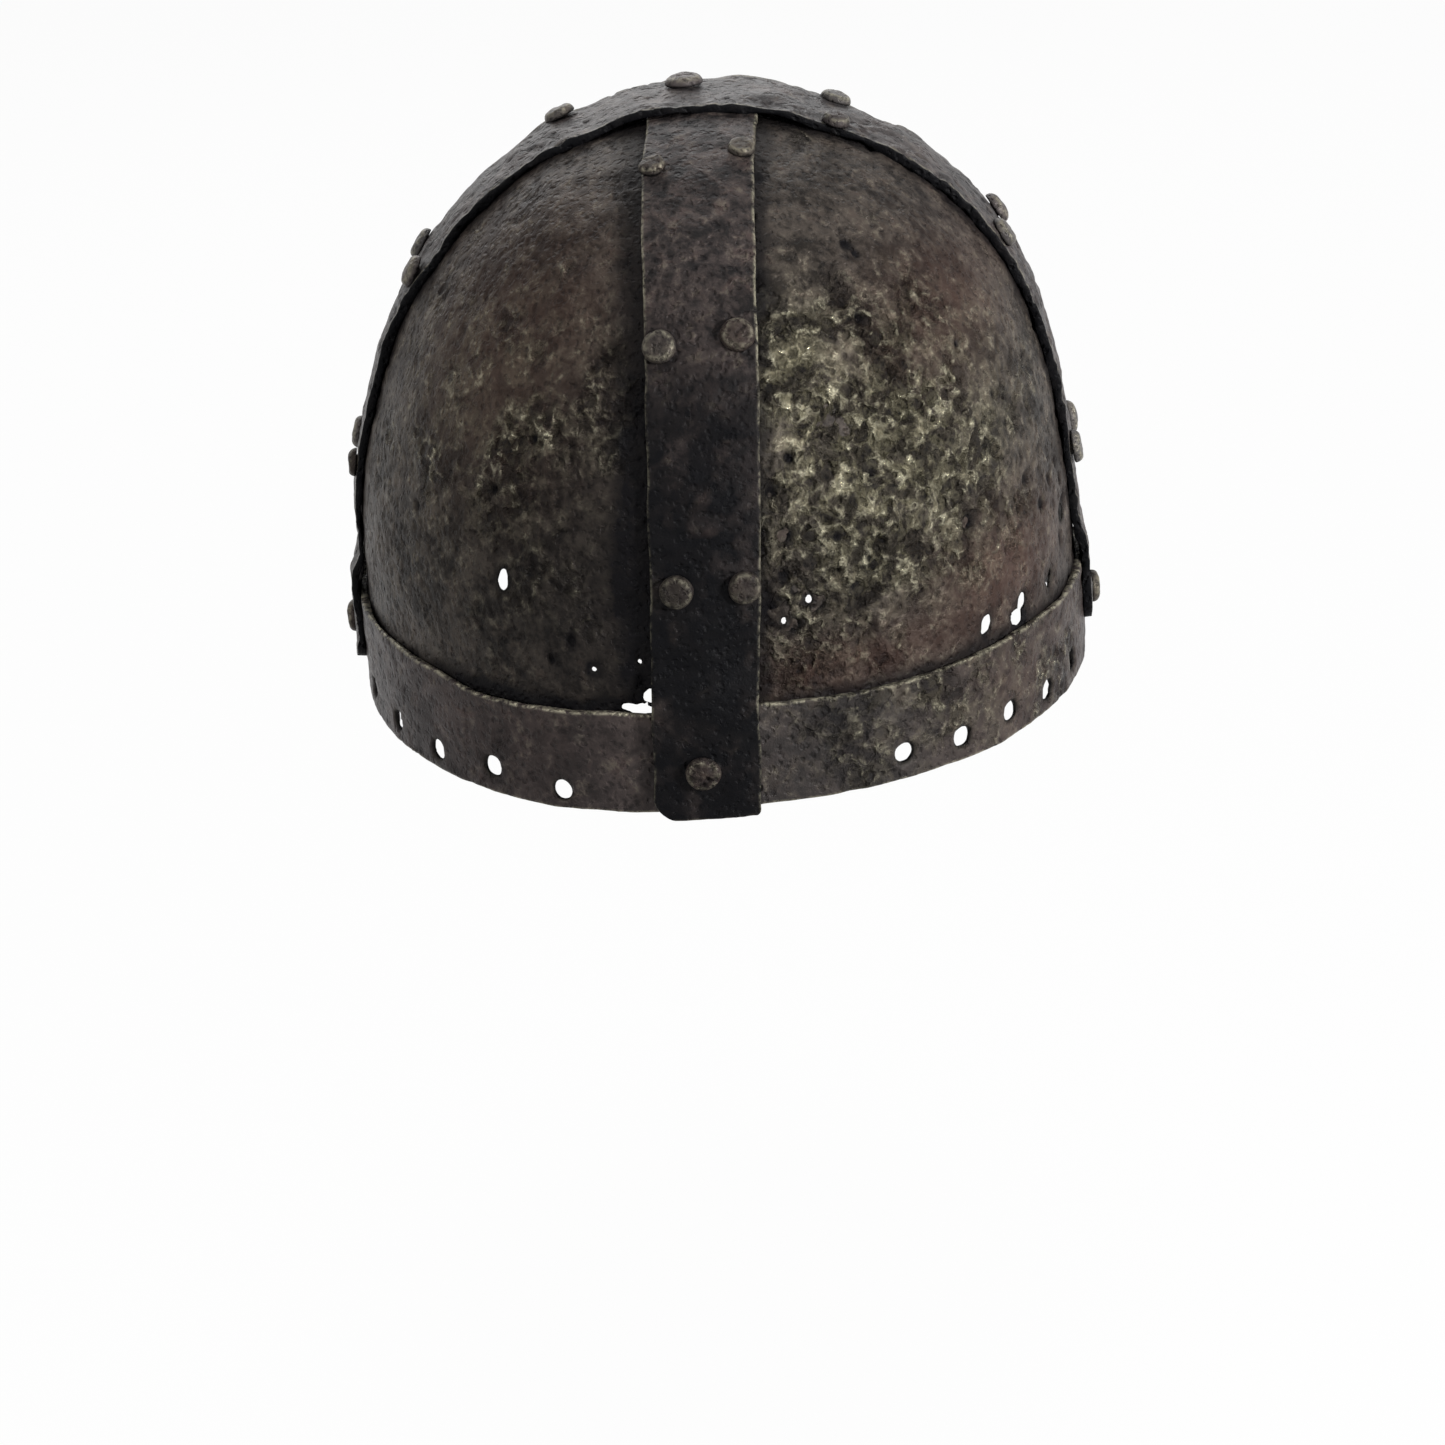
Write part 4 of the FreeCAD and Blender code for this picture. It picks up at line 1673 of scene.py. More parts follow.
# Pits that the shader adds, finer than the mesh's own: their distances in
# millimetres, and how far in metres and how finely their outlines are bent
FAR_PITS, NEAR_PITS = 4.3, 2.1
OUTLINE_BEND = (0.0026, 0.0026, 0.0026)
OUTLINE_SCALE = 420.0


@dataclass
class IronFinish:
    """Old forged iron: dark scale, brown rust, golden-grey worn ridges with painted glints, black pits and
    painted shade.

    Args:
        name: Name of the material.
        dark: Colour of the dark scale.
        mid: Colour of the rubbed scale.
        rust: Colour of the brown rust.
        olive: Colour of the thin golden bloom, partly a painted highlight on the rear right plate and the brow
            band.
        gold: Colour of the worn ridges and edges, partly painted glints.
        pit: Colour of pits, dirt and painted shade.
        steel: Colour of the grey scale.
        grain: Size of the fine grain in millimetres.
        bump: Strength of the fine relief.
        rough: Roughness of the scale.
        gloss: Share of bare metal in the rubbed scale.
        sheen: Share of bare metal on the worn ridges.
        specular: Gloss of the scale itself.
        made: The material, once it has been made.
    """

    name: str
    dark: Tone = tone(28, 25, 23)
    mid: Tone = tone(68, 62, 57)
    rust: Tone = tone(62, 43, 37)
    olive: Tone = tone(104, 99, 81)
    gold: Tone = tone(178, 173, 150)
    pit: Tone = tone(11, 10, 12)
    steel: Tone = tone(96, 94, 95)
    grain: float = 0.9
    bump: float = 1.0
    rough: float = 0.36
    gloss: float = 0.42
    sheen: float = 0.5
    specular: float = 0.05
    made: bpy.types.Material | None = None

    def material(self) -> bpy.types.Material:
        """The material, made the first time it is asked for."""
        if self.made is None:
            self.made = self.mix()
        return self.made

    def mix(self) -> bpy.types.Material:
        """Build the nodes.

        Returns:
            The new material.
        """
        graph = ShaderGraph(bpy.data.materials.new(self.name))
        place = graph.place()
        hollow, worn, soot_and_shade = graph.mark("hollow"), graph.mark("worn"), graph.mark("soot_and_shade")
        rusty, golden, grey = graph.mark("rust"), graph.mark("gold"), graph.mark("grey")
        edge, eaten = graph.mark("edge"), graph.mark("eaten")
        # Noise in four sizes
        broad = graph.mottle(place, 22.0, 4.0, 0.6)
        patch = graph.mottle(place, 6.5, 6.0, 0.65, 0.6)
        fine = graph.mottle(place, self.grain * 2.4, 6.0, 0.68, 0.4)
        grit = graph.mottle(place, self.grain * 0.6, 3.0, 0.6)
        # Pores all over, and open pits with rims where rust has eaten the plates
        wander = graph.node(
            "ShaderNodeTexNoise", {}, {"Vector": place, "Scale": OUTLINE_SCALE, "Detail": 3.0}, "Color"
        )
        bent = graph.node(
            "ShaderNodeVectorMath", {"operation": "MULTIPLY_ADD"}, {0: wander, 1: OUTLINE_BEND, 2: place}
        )
        pores = graph.cells(bent, self.grain * 2.3).rise(0.5, 0.1)
        far_luck, near_luck = graph.cells(bent, FAR_PITS, "Color"), graph.cells(bent, NEAR_PITS, "Color")
        far_pit = graph.cells(bent, FAR_PITS) + (patch - 0.5) * 0.7 + (far_luck - 0.5) * 0.8
        near_pit = graph.cells(bent, NEAR_PITS) + (fine - 0.5) * 0.5 + (near_luck - 0.5) * 0.5
        small_pits = near_pit.rise(0.34, 0.12) * (eaten * 0.6 + patch.rise(0.5, 0.68) * 0.45)
        open_pits = (eaten * far_pit.rise(0.4, 0.16)).math("MAXIMUM", small_pits)
        rims = far_pit.rise(0.34, 0.5) * far_pit.rise(0.74, 0.5)
        lifted = (1 - open_pits) * (1 - hollow)
        # Bright metal, partly painted glints: worn ridges between the pits, worn edges and stray flecks
        shown = fine.rise(0.4, 0.62) * patch.rise(0.4, 0.56)
        ridge = ((rims * 1.3 + worn * 0.7) * (0.25 + golden) * shown).math("MINIMUM", 1.0) * eaten * lifted
        edges = edge * fine.rise(0.4, 0.58)
        flecks = patch.rise(0.5, 0.62) * fine.rise(0.5, 0.62) * (golden * 0.8 + 0.12) * lifted
        bright = ridge.math("MAXIMUM", edges).math("MAXIMUM", flecks * 0.8)
        # Colour, from the scale up to the dirt and painted shade on top
        scale = (broad * 0.3 + patch * 0.4 + fine * 0.3).rise(0.42, 0.58)
        colour = graph.blend(scale, self.dark, self.mid)
        colour = graph.blend(grey * (0.45 + patch * 0.6), colour, self.steel)
        red_share = (rusty * 0.9 + patch.rise(0.52, 0.7) * 0.3) * (0.35 + broad * 0.8)
        colour = graph.blend(red_share, colour, self.rust)
        # Pale golden bloom; on the rear right plate and the brow band partly a painted highlight
        bloom = patch.rise(0.44, 0.56) * (0.4 + eaten * 0.5) + 0.15
        colour = graph.blend(golden * bloom, colour, self.olive)
        # Worn metal and painted glints in the pale gold colour
        colour = graph.blend(bright * 0.9, colour, self.gold)
        black = (hollow * 0.5).math("MAXIMUM", open_pits * 0.6) + pores * 0.3
        colour = graph.blend(black, colour, self.pit)
        # Dirt and painted shade darken towards the pit colour
        colour = graph.blend(soot_and_shade * (0.2 + fine * 0.7 + patch * 0.9) * (1 - edges * 0.6), colour, self.pit)
        # Gloss and fine relief
        rough = self.rough - bright * 0.08 - eaten * 0.12 + (fine - 0.5) * 0.3 + soot_and_shade * 0.15 + open_pits * 0.15
        gloss = (1 - soot_and_shade * 0.95) * (1 - open_pits) * patch.rise(0.36, 0.6, 0.35, 1.0) * (0.6 + eaten * 0.4)
        metal = gloss * self.gloss + bright * self.sheen
        height = fine * (0.15 + eaten) + grit * 0.16 - pores * 0.35 - open_pits * 0.85 + rims * eaten * 0.6
        relief = {"Strength": self.bump, "Distance": MM, "Height": height}
        surface = {
            "Base Color": colour, "Roughness": rough, "Metallic": metal,
            "Normal": graph.node("ShaderNodeBump", {}, relief, "Normal"), "Specular IOR Level": self.specular,
        }
        shader = graph.node("ShaderNodeBsdfPrincipled", {}, surface)
        graph.node("ShaderNodeOutputMaterial", {}, {"Surface": shader})
        return graph.owner


FINISHES = {
    Iron.PLATE: IronFinish("Pitted dark plate iron"),
    Iron.BAND: IronFinish(
        "Rubbed dark band iron", dark=tone(26, 24, 24), mid=tone(62, 55, 53), pit=tone(10, 10, 12),
        steel=tone(80, 77, 77), grain=1.0, bump=1.1, gloss=0.36,
    ),
    Iron.RIVET: IronFinish(
        "Hammered rivet iron", dark=tone(30, 28, 27), mid=tone(72, 67, 61), grain=0.7, bump=0.9
    ),
}


# The studio


AIM = Vector((0.0, 0.0, 80.0))
# Name, place in millimetres, side in millimetres and power in watts
LAMPS = (
    ("Key", (1255.0, -846.0, 480.0), 240.0, 38.0),
    ("Top", (60.0, -160.0, 1600.0), 600.0, 9.0),
    ("Fill", (-1400.0, -800.0, 500.0), 800.0, 9.5),
    ("Back", (-200.0, 1300.0, 900.0), 1200.0, 10.5),
)


@dataclass
class Studio:
    """Pale floor, soft lamps and the camera.

    Args:
        floor_drop: How far the floor lies under the rim, in millimetres.
        camera_place: Place of the camera in millimetres.
        yaw: Turn of its view to the right, in degrees.
        tilt: Turn of its view down.
        roll: Turn about its own axis.
        lens: Focal length in millimetres.
        sensor: Width of the camera's sensor in millimetres.
        clip: Nearest and farthest distance that it shows, in metres.
        floor_size: Side of the floor in metres.
        floor_grey: How light the floor is under the lamps.
        floor_glow: How white it looks.
        ambient: Strength of the light from all round.
    """

    floor_drop: float = 230.0
    camera_place: tuple[float, float, float] = (30.96, -1189.12, 468.88)
    yaw: float = -1.627
    tilt: float = 22.443
    roll: float = 3.793
    lens: float = 109.97
    sensor: float = 36.0
    clip: tuple[float, float] = (0.05, 60.0)
    floor_size: float = 14.0
    floor_grey: float = 0.6
    floor_glow: float = 0.96
    ambient: float = 0.1

    def floor(self) -> None:
        """Lay the floor, which looks pale and keeps the shadow."""
        deselect_all()
        bpy.ops.mesh.primitive_grid_add(x_subdivisions=8, y_subdivisions=8, size=self.floor_size)
        ground = bpy.context.object
        ground.name = "floor"
        ground.location.z = -self.floor_drop * MM
        graph = ShaderGraph(bpy.data.materials.new("Pale studio floor"))
        rays = graph.ray("Is Camera Ray") + graph.ray("Is Glossy Ray") + graph.ray("Is Transmission Ray")
        seen = rays.math("MINIMUM", 1.0) * self.floor_glow
        matt = graph.node("ShaderNodeBsdfDiffuse", {}, {"Color": (*[self.floor_grey] * 3, 1.0)})
        glow = graph.node("ShaderNodeEmission", {}, {"Color": WHITE, "Strength": 1.0})
        mixed = graph.node("ShaderNodeMixShader", {}, {0: seen, 1: matt, 2: glow})
        graph.node("ShaderNodeOutputMaterial", {}, {"Surface": mixed})
        ground.data.materials.append(graph.owner)

    def world(self) -> None:
        """Surround everything with white, which lights the helmet softly."""
        graph = ShaderGraph(bpy.data.worlds.new("Soft white"))
        seen = graph.ray("Is Camera Ray").math("MAXIMUM", graph.ray("Is Glossy Ray"))
        level = graph.node("ShaderNodeMapRange", {}, {"Value": seen, "To Min": self.ambient, "To Max": 1.0})
        back = graph.node("ShaderNodeBackground", {}, {"Color": WHITE, "Strength": level})
        graph.node("ShaderNodeOutputWorld", {}, {"Surface": back})
        bpy.context.scene.world = graph.owner

    def lamp(self, name: str, place: tuple[float, float, float], size: float, power: float) -> None:
        """Hang a square soft lamp that faces the helmet.

        Args:
            name: Its name.
            place: Its place in millimetres.
            size: Its side in millimetres.
            power: Its power in watts.
        """
        light = bpy.data.lights.new(name, "AREA")
        light.size = size * MM
        light.energy = power
        lamp = bpy.data.objects.new(name, light)
        bpy.context.collection.objects.link(lamp)
        lamp.location = Vector(place) * MM
        aim = AIM * MM - lamp.location
        lamp.rotation_mode = "QUATERNION"
        lamp.rotation_quaternion = aim.to_track_quat("-Z", "Y")

    def camera(self) -> None:
        """Set up the camera at the viewing angle."""
        data = bpy.data.cameras.new("Camera")
        data.lens = self.lens
        data.sensor_width = self.sensor
        camera = bpy.data.objects.new("Camera", data)
        bpy.context.collection.objects.link(camera)
        camera.location = Vector(self.camera_place) * MM
        turn = Matrix.Rotation(math.radians(-self.yaw), 3, "Z") @ Matrix.Rotation(
            math.radians(90.0 - self.tilt), 3, "X"
        )
        roll = Matrix.Rotation(math.radians(-self.roll), 3, "Z")
        camera.rotation_mode = "QUATERNION"
        camera.rotation_quaternion = (turn @ roll).to_quaternion()
        data.clip_start, data.clip_end = self.clip
        bpy.context.scene.camera = camera

    def build(self) -> None:
        """Make the whole studio."""
        bpy.context.scene.view_settings.view_transform = "Standard"
        self.world()
        self.floor()
        for lamp in LAMPS:
            self.lamp(*lamp)
        self.camera()


# The helmet


# Angle round from the middle of the back, height, and ovals of each hole
HoleTable = tuple[tuple[float, float, tuple[Oval, ...]], ...]
# For each rivet its angle up an arch, its distance across, and how its head looks
SiteTable = tuple[tuple[float, float, dict[str, object]], ...]


def on_plate(around: float, rise: float) -> tuple[float, float, float]:
    """Place on a plate's outer face from before the forging, by angle in degrees and height."""
    return tuple(DOME.ring(np.array([math.radians(around)]), np.array([rise]), STOCK.plate)[0])


@dataclass
class DomeShell:
    """The four dome plates with their rust holes.

    Args:
        rear_right_holes: Rust holes of the rear right plate.
        rear_left_holes: Rust holes of the rear left plate.
        ragged: How far rust has eaten their edges, in millimetres.
        thinned: How far it has thinned both faces round them.
        deep_pits: Angle round, height and reach of single deep pits in the rear plates.
        pit_depth: Their depth.
    """

    rear_right_holes: HoleTable = (
        (16.7, 55.0, ((0.0, 0.0, 1.15, 1.1, 0.0),)),
        (12.6, 50.1, ((0.0, 0.0, 0.6, 0.75, 0.0),)),
        (47.3, 33.8, ((0.0, 0.0, 1.9, 2.6, -34.0),)),
        (55.4, 32.3, ((-0.7, -1.2, 2.7, 2.3, 0.0), (1.9, 2.0, 1.7, 2.7, -36.0))),
        (75.1, 47.7, ((0.0, 0.0, 3.1, 2.4, 8.0),)),
        (66.0, 34.6, ((0.0, 0.0, 1.3, 2.6, -30.0),)),
    )
    rear_left_holes: HoleTable = (
        (-33.7, 59.0, ((0.0, 0.0, 1.7, 2.6, 0.0), (0.6, -0.4, 1.1, 1.9, 15.0))),
        (-9.8, 30.0, ((-1.6, -1.5, 4.5, 1.35, -3.0), (2.3, 1.9, 1.9, 2.0, 0.0))),
        (-17.4, 38.7, ((0.0, 0.0, 0.95, 0.85, 0.0),)),
        (-10.0, 41.5, ((0.0, 0.0, 0.7, 0.75, 0.0),)),
    )
    ragged: float = 0.28
    thinned: float = 0.5
    deep_pits: tuple[tuple[float, float, float], ...] = (
        (36.8, 137.8, 1.9), (37.9, 135.2, 1.3), (32.7, 121.8, 1.5), (45.9, 63.6, 2.0), (61.3, 66.3, 1.4),
        (13.7, 72.9, 2.0), (15.0, 92.0, 1.5), (11.8, 84.0, 1.3), (13.0, 62.5, 1.7), (14.5, 58.0, 1.3),
        (10.8, 54.0, 1.6), (73.4, 151.5, 1.2), (77.4, 51.4, 1.8), (65.6, 56.4, 1.6), (70.0, 61.0, 1.2),
        (72.5, 42.0, 1.9), (20.3, 152.9, 1.5), (-36.9, 81.4, 1.2), (-30.0, 96.0, 1.0), (-21.0, 46.0, 1.1),
        (-24.5, 40.0, 0.9), (-55.0, 70.0, 1.0), (52.0, 108.0, 0.9), (57.0, 92.0, 1.1), (18.0, 53.5, 2.1),
        (14.0, 48.6, 2.2), (76.0, 57.0, 1.6), (74.5, 63.0, 1.2), (-9.5, 36.0, 1.6), (22.0, 70.0, 1.2),
        (29.0, 84.0, 1.2),
    )
    pit_depth: float = 1.5

    def single_pits(self) -> tuple[Patch, ...]:
        """Deep single pits of the rear plates."""
        return tuple(
            Patch(on_plate(around, rise), (reach, reach, 1.2 * reach), self.pit_depth)
            for around, rise, reach in self.deep_pits
        )

    def holes(self, table: HoleTable) -> tuple[Opening, ...]:
        """Openings of one plate."""
        return tuple(
            Opening(on_plate(around, rise), ovals, self.ragged, 90 + number)
            for number, (around, rise, ovals) in enumerate(table)
        )

    def rear_right(self) -> DomePlate:
        """The plate that rust has eaten most, with golden ridges between its craters, partly painted glints, and
        a pale golden patch that is partly a painted highlight.
        """
        return DomePlate(
            "pitted_rear_right_plate", "rear_right_plate", Iron.PLATE, Wear(salt=4, pit=0.34, crater=1.2),
            openings=self.holes(self.rear_right_holes), pits=self.single_pits(), thinned=self.thinned,
            cratered=(
                Patch((45.0, -86.0, 92.0), (30.0, 60.0, 30.0), 1.2),
                Patch((26.0, -100.0, 58.0), (20.0, 40.0, 24.0), 1.0),
                Patch((68.0, -68.0, 60.0), (16.0, 40.0, 18.0), 0.7),
                Patch((20.0, -90.0, 118.0), (9.0, 40.0, 12.0), 0.8),
            ),
            rusty=(
                Patch((80.0, -70.0, 48.0), (22.0, 50.0, 16.0), 0.9),
                Patch((62.0, -60.0, 118.0), (20.0, 50.0, 18.0), 0.7),
                Patch((34.0, -106.0, 36.0), (40.0, 30.0, 8.0), 0.7),
            ),
            # Pale golden bloom, partly a painted highlight where the key lamp's light falls on the plate
            golden=(
                Patch((48.0, -86.0, 84.0), (32.0, 60.0, 30.0), 1.0),
                Patch((24.0, -92.0, 112.0), (10.0, 40.0, 16.0), 0.8),
            ),
            hand=1, facing=-1,
        )

    def rear_left(self) -> DomePlate:
        """The darker plate, with shallow pits."""
        return DomePlate(
            "pitted_rear_left_plate", "rear_left_plate", Iron.PLATE,
            Wear(salt=8, pit=0.36, pit_size=2.8, crater=0.5),
            openings=self.holes(self.rear_left_holes), pits=self.single_pits(), thinned=self.thinned,
            cratered=(Patch((-50.0, -80.0, 90.0), (40.0, 60.0, 40.0), 0.5),),
            # Painted shade: beside the strap on its shaded side, and low on the left
            dark_patches=(
                Patch((-26.0, -106.0, 60.0), (22.0, 40.0, 48.0), 0.6),
                Patch((-60.0, -90.0, 50.0), (30.0, 40.0, 24.0), 0.25),
            ),
            rusty=(
                Patch((-60.0, -80.0, 100.0), (30.0, 60.0, 30.0), 0.6),
                Patch((-44.0, -60.0, 128.0), (30.0, 50.0, 24.0), 0.5),
            ),
            golden=(Patch((-58.0, -80.0, 96.0), (36.0, 60.0, 38.0), 0.42),),
            # Painted shade beside the strap reaches farther on this plate, the strap's shaded side
            hand=-1, facing=-1, strap_shade=27.0,
        )

    def front_left(self) -> DomePlate:
        """Front plate on the left."""
        return DomePlate(
            "pitted_front_left_plate", "front_left_plate", Iron.PLATE, Wear(salt=14, pit=0.34, crater=0.7),
            cratered=(Patch((-55.0, 80.0, 70.0), (40.0, 60.0, 34.0), 0.7),),
            rusty=(Patch((-30.0, 80.0, 120.0), (40.0, 60.0, 30.0), 0.7),),
            golden=(Patch((-55.0, 80.0, 80.0), (30.0, 60.0, 34.0), 0.5),),
            hand=-1, facing=1,
        )

    def front_right(self) -> DomePlate:
        """Front plate on the right."""
        return DomePlate(
            "pitted_front_right_plate", "front_right_plate", Iron.PLATE, Wear(salt=22, pit=0.34, crater=0.7),
            cratered=(Patch((45.0, 90.0, 60.0), (40.0, 60.0, 30.0), 0.8),),
            rusty=(Patch((60.0, 70.0, 100.0), (40.0, 60.0, 30.0), 0.6),),
            golden=(Patch((40.0, 90.0, 90.0), (30.0, 60.0, 30.0), 0.5),),
            # Painted shade beside the strap reaches farther on this plate
            hand=1, facing=1, strap_shade=27.0,
        )

    def pieces(self) -> list[Sheet]:
        """The plates."""
        return [self.rear_left(), self.rear_right(), self.front_left(), self.front_right()]


# Looks of rivet heads
GREY = {"grey": 0.7}
SMALL_GREY = {"size": 0.94, "grey": 0.7}
RUSTED = {"size": 0.84, "pitted": 0.5, "sunk": 0.4, "grey": 0.6, "soot_and_shade": 0.3}
SUNKEN = {"size": 0.86, "pitted": 0.5, "flat": 0.6, "soot_and_shade": 0.55}
FIRST_SALT = 5


@dataclass
class Frame:
    """The bands that hold the plates, and their rivets.

    Args:
        hole_radius: Radius of the lining holes in millimetres.
        hole_height: Their mean height over the rim.
        hole_ragged: How uneven their edges are.
        hole_rows: First angle round from the middle of the back, pitch and number of each row.
        hole_rises: How far each hole lies above that height.
    """

    hole_radius: float = 2.85
    hole_height: float = 6.5
    hole_ragged: float = 0.12
    hole_rows: tuple[tuple[float, float, int], ...] = (
        (-23.5, -12.8, 5), (29.4, 10.4, 5), (-110.0, -12.0, 5), (110.0, 12.0, 5)
    )
    hole_rises: tuple[float, ...] = (
        -2.0, 0.6, -1.0, -0.4, 0.3, 1.2, -0.1, 0.6, -0.9, 0.2,
        0.5, -0.6, 0.4, -0.2, 0.7, -0.5, 0.3, 0.0, -0.7, 0.4,
    )

    def lining_holes(self) -> tuple[Opening, ...]:
        """Round holes in the brow band to which a lining is sewn."""
        circle = ((0.0, 0.0, self.hole_radius, self.hole_radius, 0.0),)
        openings = []
        for first, pitch, count in self.hole_rows:
            for number in range(count):
                around = np.array([math.radians(first + pitch * number)])
                rise = self.hole_height + self.hole_rises[len(openings)]
                spot = DOME.ring(around, np.array([rise]), STOCK.strap_outside)[0]
                openings.append(Opening(tuple(spot), circle, self.hole_ragged, 50 + number))
        return tuple(openings)

    def pieces(self) -> list[Sheet]:
        """The bands."""
        brow = BrowBand(
            "worn_brow_band", "brow_band", Iron.BAND,
            Wear(salt=30, pit=0.26, dent=0.3, crater=0.4, crease=0.25, edge=0.6),
            openings=self.lining_holes(),
            cratered=(Patch((70.0, -80.0, 20.0), (60.0, 60.0, 30.0), 0.5),),
            dark_patches=(
                Patch((34.0, -104.0, 14.0), (20.0, 30.0, 30.0), 0.4),
                Patch((85.0, -50.0, 14.0), (30.0, 40.0, 30.0), 0.2),
            ),
            rusty=(
                Patch((80.0, -60.0, 18.0), (30.0, 60.0, 30.0), 0.6),
                Patch((-50.0, -90.0, 18.0), (50.0, 60.0, 30.0), 0.35),
            ),
            # Pale golden bloom on the right, partly a painted highlight
            golden=(Patch((60.0, -90.0, 20.0), (50.0, 60.0, 30.0), 0.35),), grey=0.36,
        )
        crown = CrownBand(
            "worn_crown_band", "crown_band", Iron.BAND,
            Wear(salt=36, pit=0.45, pit_size=4.2, dent=0.6, dent_size=15.0, crease=0.4, edge=0.4),
            # The crown band's cut edges get painted shade, with a pale line of worn metal and painted highlight
            # inside it
            edge_shine=0.4, edge_shade=1.0, grey=0.35, heading=tuple(RIGHT), half_width=15.8,
            foot_half_width=15.8, first_height=9.0, whole_arch=True, thickness=STOCK.crown,
            corner=(5.0, 5.0), wave=1.0,
        )
        rear = RearStrap(
            "worn_rear_strap", "rear_strap", Iron.BAND,
            Wear(salt=42, pit=0.2, pit_size=3.8, dent=0.38, dent_size=16.0, crease=0.36, edge=0.6),
            edge_shine=0.55, heading=tuple(-FRONT), half_width=14.9, foot_half_width=14.1,
            first_height=-1.6, last_height=3.0, thickness=STOCK.strap, corner=(6.5, 1.6), wave=0.35, step=0.72,
            course=(
                (2.0, -1.3), (14.0, -1.0), (29.0, -0.4), (58.0, 1.3), (116.0, 0.5), (131.0, 0.1),
                (148.0, 0.0), (161.0, -1.1),
            ),
        )
        front = Band(
            "worn_front_strap", "front_strap", Iron.BAND,
            Wear(salt=48, pit=0.26, dent=0.35, crease=0.3, edge=0.6),
            heading=tuple(FRONT), half_width=15.0, foot_half_width=14.2, first_height=30.5,
            last_height=3.0, thickness=STOCK.strap, corner=(4.0, 4.0), wave=0.4,
        )
        nose = NoseBar(
            "worn_nose_bar", "nasal_guard", Iron.BAND,
            Wear(salt=54, pit=0.26, dent=0.35, crease=0.25, edge=0.8), edge_shine=0.4,
        )
        return [brow, crown, rear, front, nose]

    def arch_sites(
        self, heading: np.ndarray, table: SiteTable, crown: CrownBand | None = None
    ) -> list[RivetSite]:
        """Place rivets on a band, by angle up its arch.

        Args:
            heading: Level direction in which its arch starts.
            table: The rivets.
            crown: The crown band, where that is the band.

        Returns:
            Where they sit.
        """
        sites = []
        for angle, across, looks in table:
            tilt = np.array([math.radians(angle)])
            outside = STOCK.strap_outside
            if crown:
                middle = DOME.arch(heading, tilt, np.zeros(1), STOCK.strap_inside)
                outside = float(crown.inside(middle)[0]) + STOCK.crown
            spot = DOME.arch(heading, tilt, np.array([across]), outside)[0]
            sites.append(RivetSite(tuple(spot), outside, **looks))
        return sites

    def level_site(
        self, heading: np.ndarray, rise: float, across: float, outside: float, inside: float, **looks: object
    ) -> RivetSite:
        """Place one rivet on a band, by height.

        Args:
            heading: Level direction in which its arch starts.
            rise: Height over the rim in millimetres.
            across: Distance square to the arch.
            outside: Offset of the face under its head.
            inside: Offset of the face under its tail.
            **looks: How its head looks.

        Returns:
            Where it sits.
        """
        tilt = np.array([DOME.tilt_at(heading, rise, outside)])
        spot = DOME.arch(heading, tilt, np.array([across]), outside)[0]
        return RivetSite(tuple(spot), outside - inside, **looks)

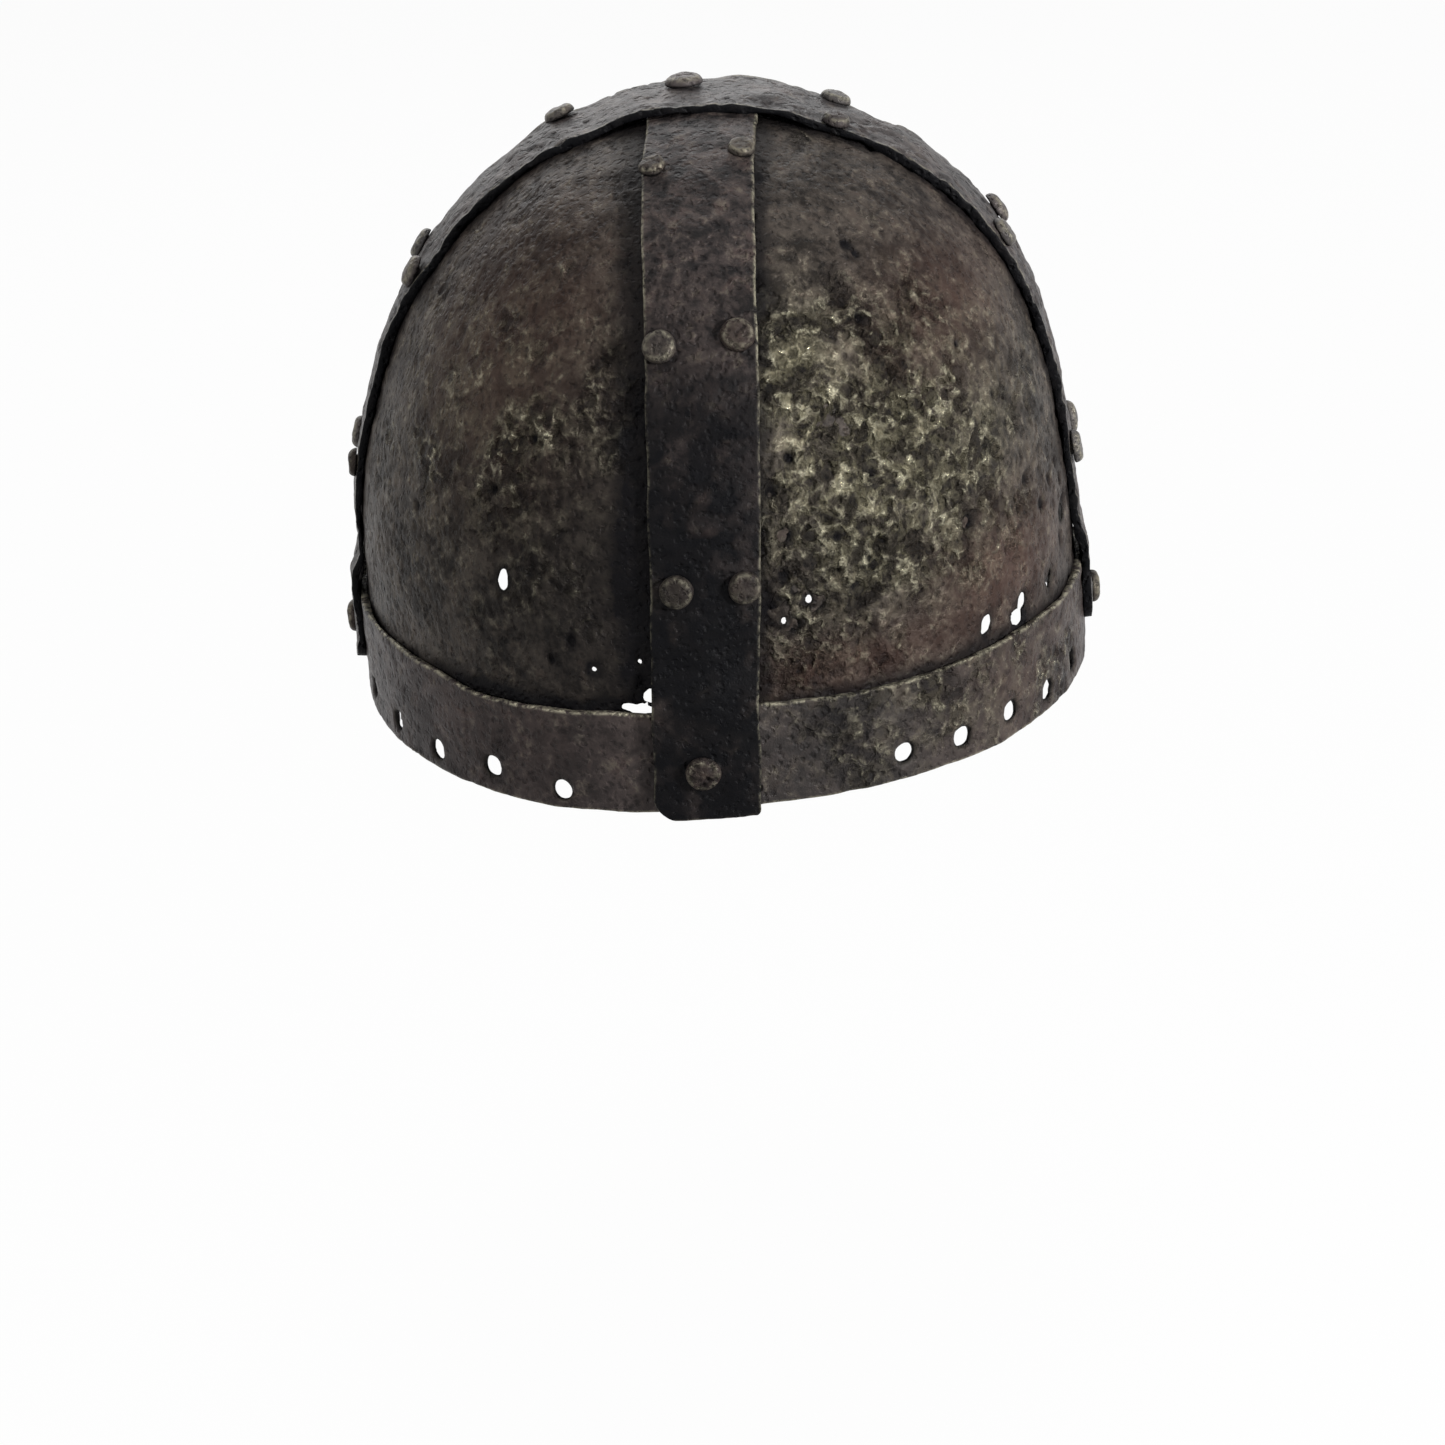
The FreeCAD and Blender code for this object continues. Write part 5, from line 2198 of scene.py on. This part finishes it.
    def rivet_rows(self, crown: CrownBand) -> list[RivetRow]:
        """Place all rivets of the helmet.

        Args:
            crown: The crown band.

        Returns:
            One row for each node of rivets.
        """
        rear = self.arch_sites(-FRONT, (
            (74.1, -12.5, {"size": 0.78, "tilt": (4.0, 2.0), "pitted": 0.5, "sunk": 0.5, "flat": 0.7}),
            (76.6, 10.9, {"size": 0.8, "pitted": 0.3, "flat": 0.1}),
            (53.5, -10.4, {"size": 0.97, "soot_and_shade": 0.2}),
            (54.4, 9.9, {"size": 0.98, "pitted": 0.4, "soot_and_shade": 0.25}),
            (28.7, -6.3, {"size": 0.96, "pitted": 0.45, "soot_and_shade": 0.55}),
            (28.9, 11.5, {"size": 0.94, "pitted": 0.7, "soot_and_shade": 0.45}),
        ))
        foot_outside = STOCK.lap_inside + STOCK.strap
        foot_looks = {"pitted": 1.5, "flat": 0.3, "soot_and_shade": 0.3}
        foot = [self.level_site(-FRONT, 12.0, -2.0, foot_outside, STOCK.strap_inside, **foot_looks)]
        front = self.arch_sites(FRONT, tuple(
            (angle, across, {}) for angle in (71.5, 53.5, 32.0) for across in (-10.2, 10.2)
        ))
        nasal_outside = STOCK.lap_inside + STOCK.nasal
        nasal = [self.level_site(FRONT, 42.5, across, nasal_outside, 0.0) for across in (-8.8, 8.8)]
        nasal.append(self.level_site(FRONT, 11.7, 0.0, nasal_outside, STOCK.strap_inside))
        near = self.arch_sites(RIGHT, (
            (31.2, -10.2, GREY), (57.4, -9.6, {"size": 0.92, "grey": 0.5}), (77.6, -12.0, RUSTED),
            (124.6, -10.2, GREY), (146.8, -10.2, SUNKEN),
        ), crown)
        far = self.arch_sites(RIGHT, (
            (32.0, 10.2, GREY), (58.0, 9.8, GREY), (77.5, 11.8, SMALL_GREY),
            (104.8, 11.5, SMALL_GREY), (123.8, 10.2, GREY), (146.0, 10.2, GREY),
        ), crown)
        apex = self.arch_sites(RIGHT, ((92.2, 6.2, {"size": 1.12, "grey": 0.8}),), crown)
        ends_outside = STOCK.lap_inside + STOCK.crown
        ends = [
            self.level_site(way, rise, 0.0, ends_outside, STOCK.strap_inside)
            for way, rise in ((-RIGHT, 17.0), (RIGHT, 14.0))
        ]
        rows = (
            ("rear_strap_rivets", "rear_strap_rivets", rear),
            ("rear_strap_foot_rivet", "rear_strap_foot_rivet", foot),
            ("front_strap_rivets", "front_strap_rivets", front),
            ("nose_bar_rivets", "nasal_rivets", nasal),
            ("crown_near_rivets", "crown_band_rear_rivets", near),
            ("crown_far_rivets", "crown_band_front_rivets", far),
            ("crown_apex_rivet", "crown_apex_rivet", apex),
            ("crown_end_rivets", "crown_end_rivets", ends),
        )
        return [
            RivetRow(f"hammered_{name}", node, sites, FIRST_SALT + number)
            for number, (name, node, sites) in enumerate(rows)
        ]


def main() -> None:
    """Build the studio and the helmet, piece by piece."""
    logging.basicConfig(level=logging.INFO, format="%(name)s: %(message)s")
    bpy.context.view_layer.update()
    Studio().build()
    frame_bands = Frame()
    bands = frame_bands.pieces()
    crown = next(band for band in bands if isinstance(band, CrownBand))
    for part in [*DomeShell().pieces(), *bands, *frame_bands.rivet_rows(crown)]:
        piece = part.build()
        log.info("%s: %d faces", piece.name, len(piece.data.polygons))


if __name__ == "__main__":
    main()
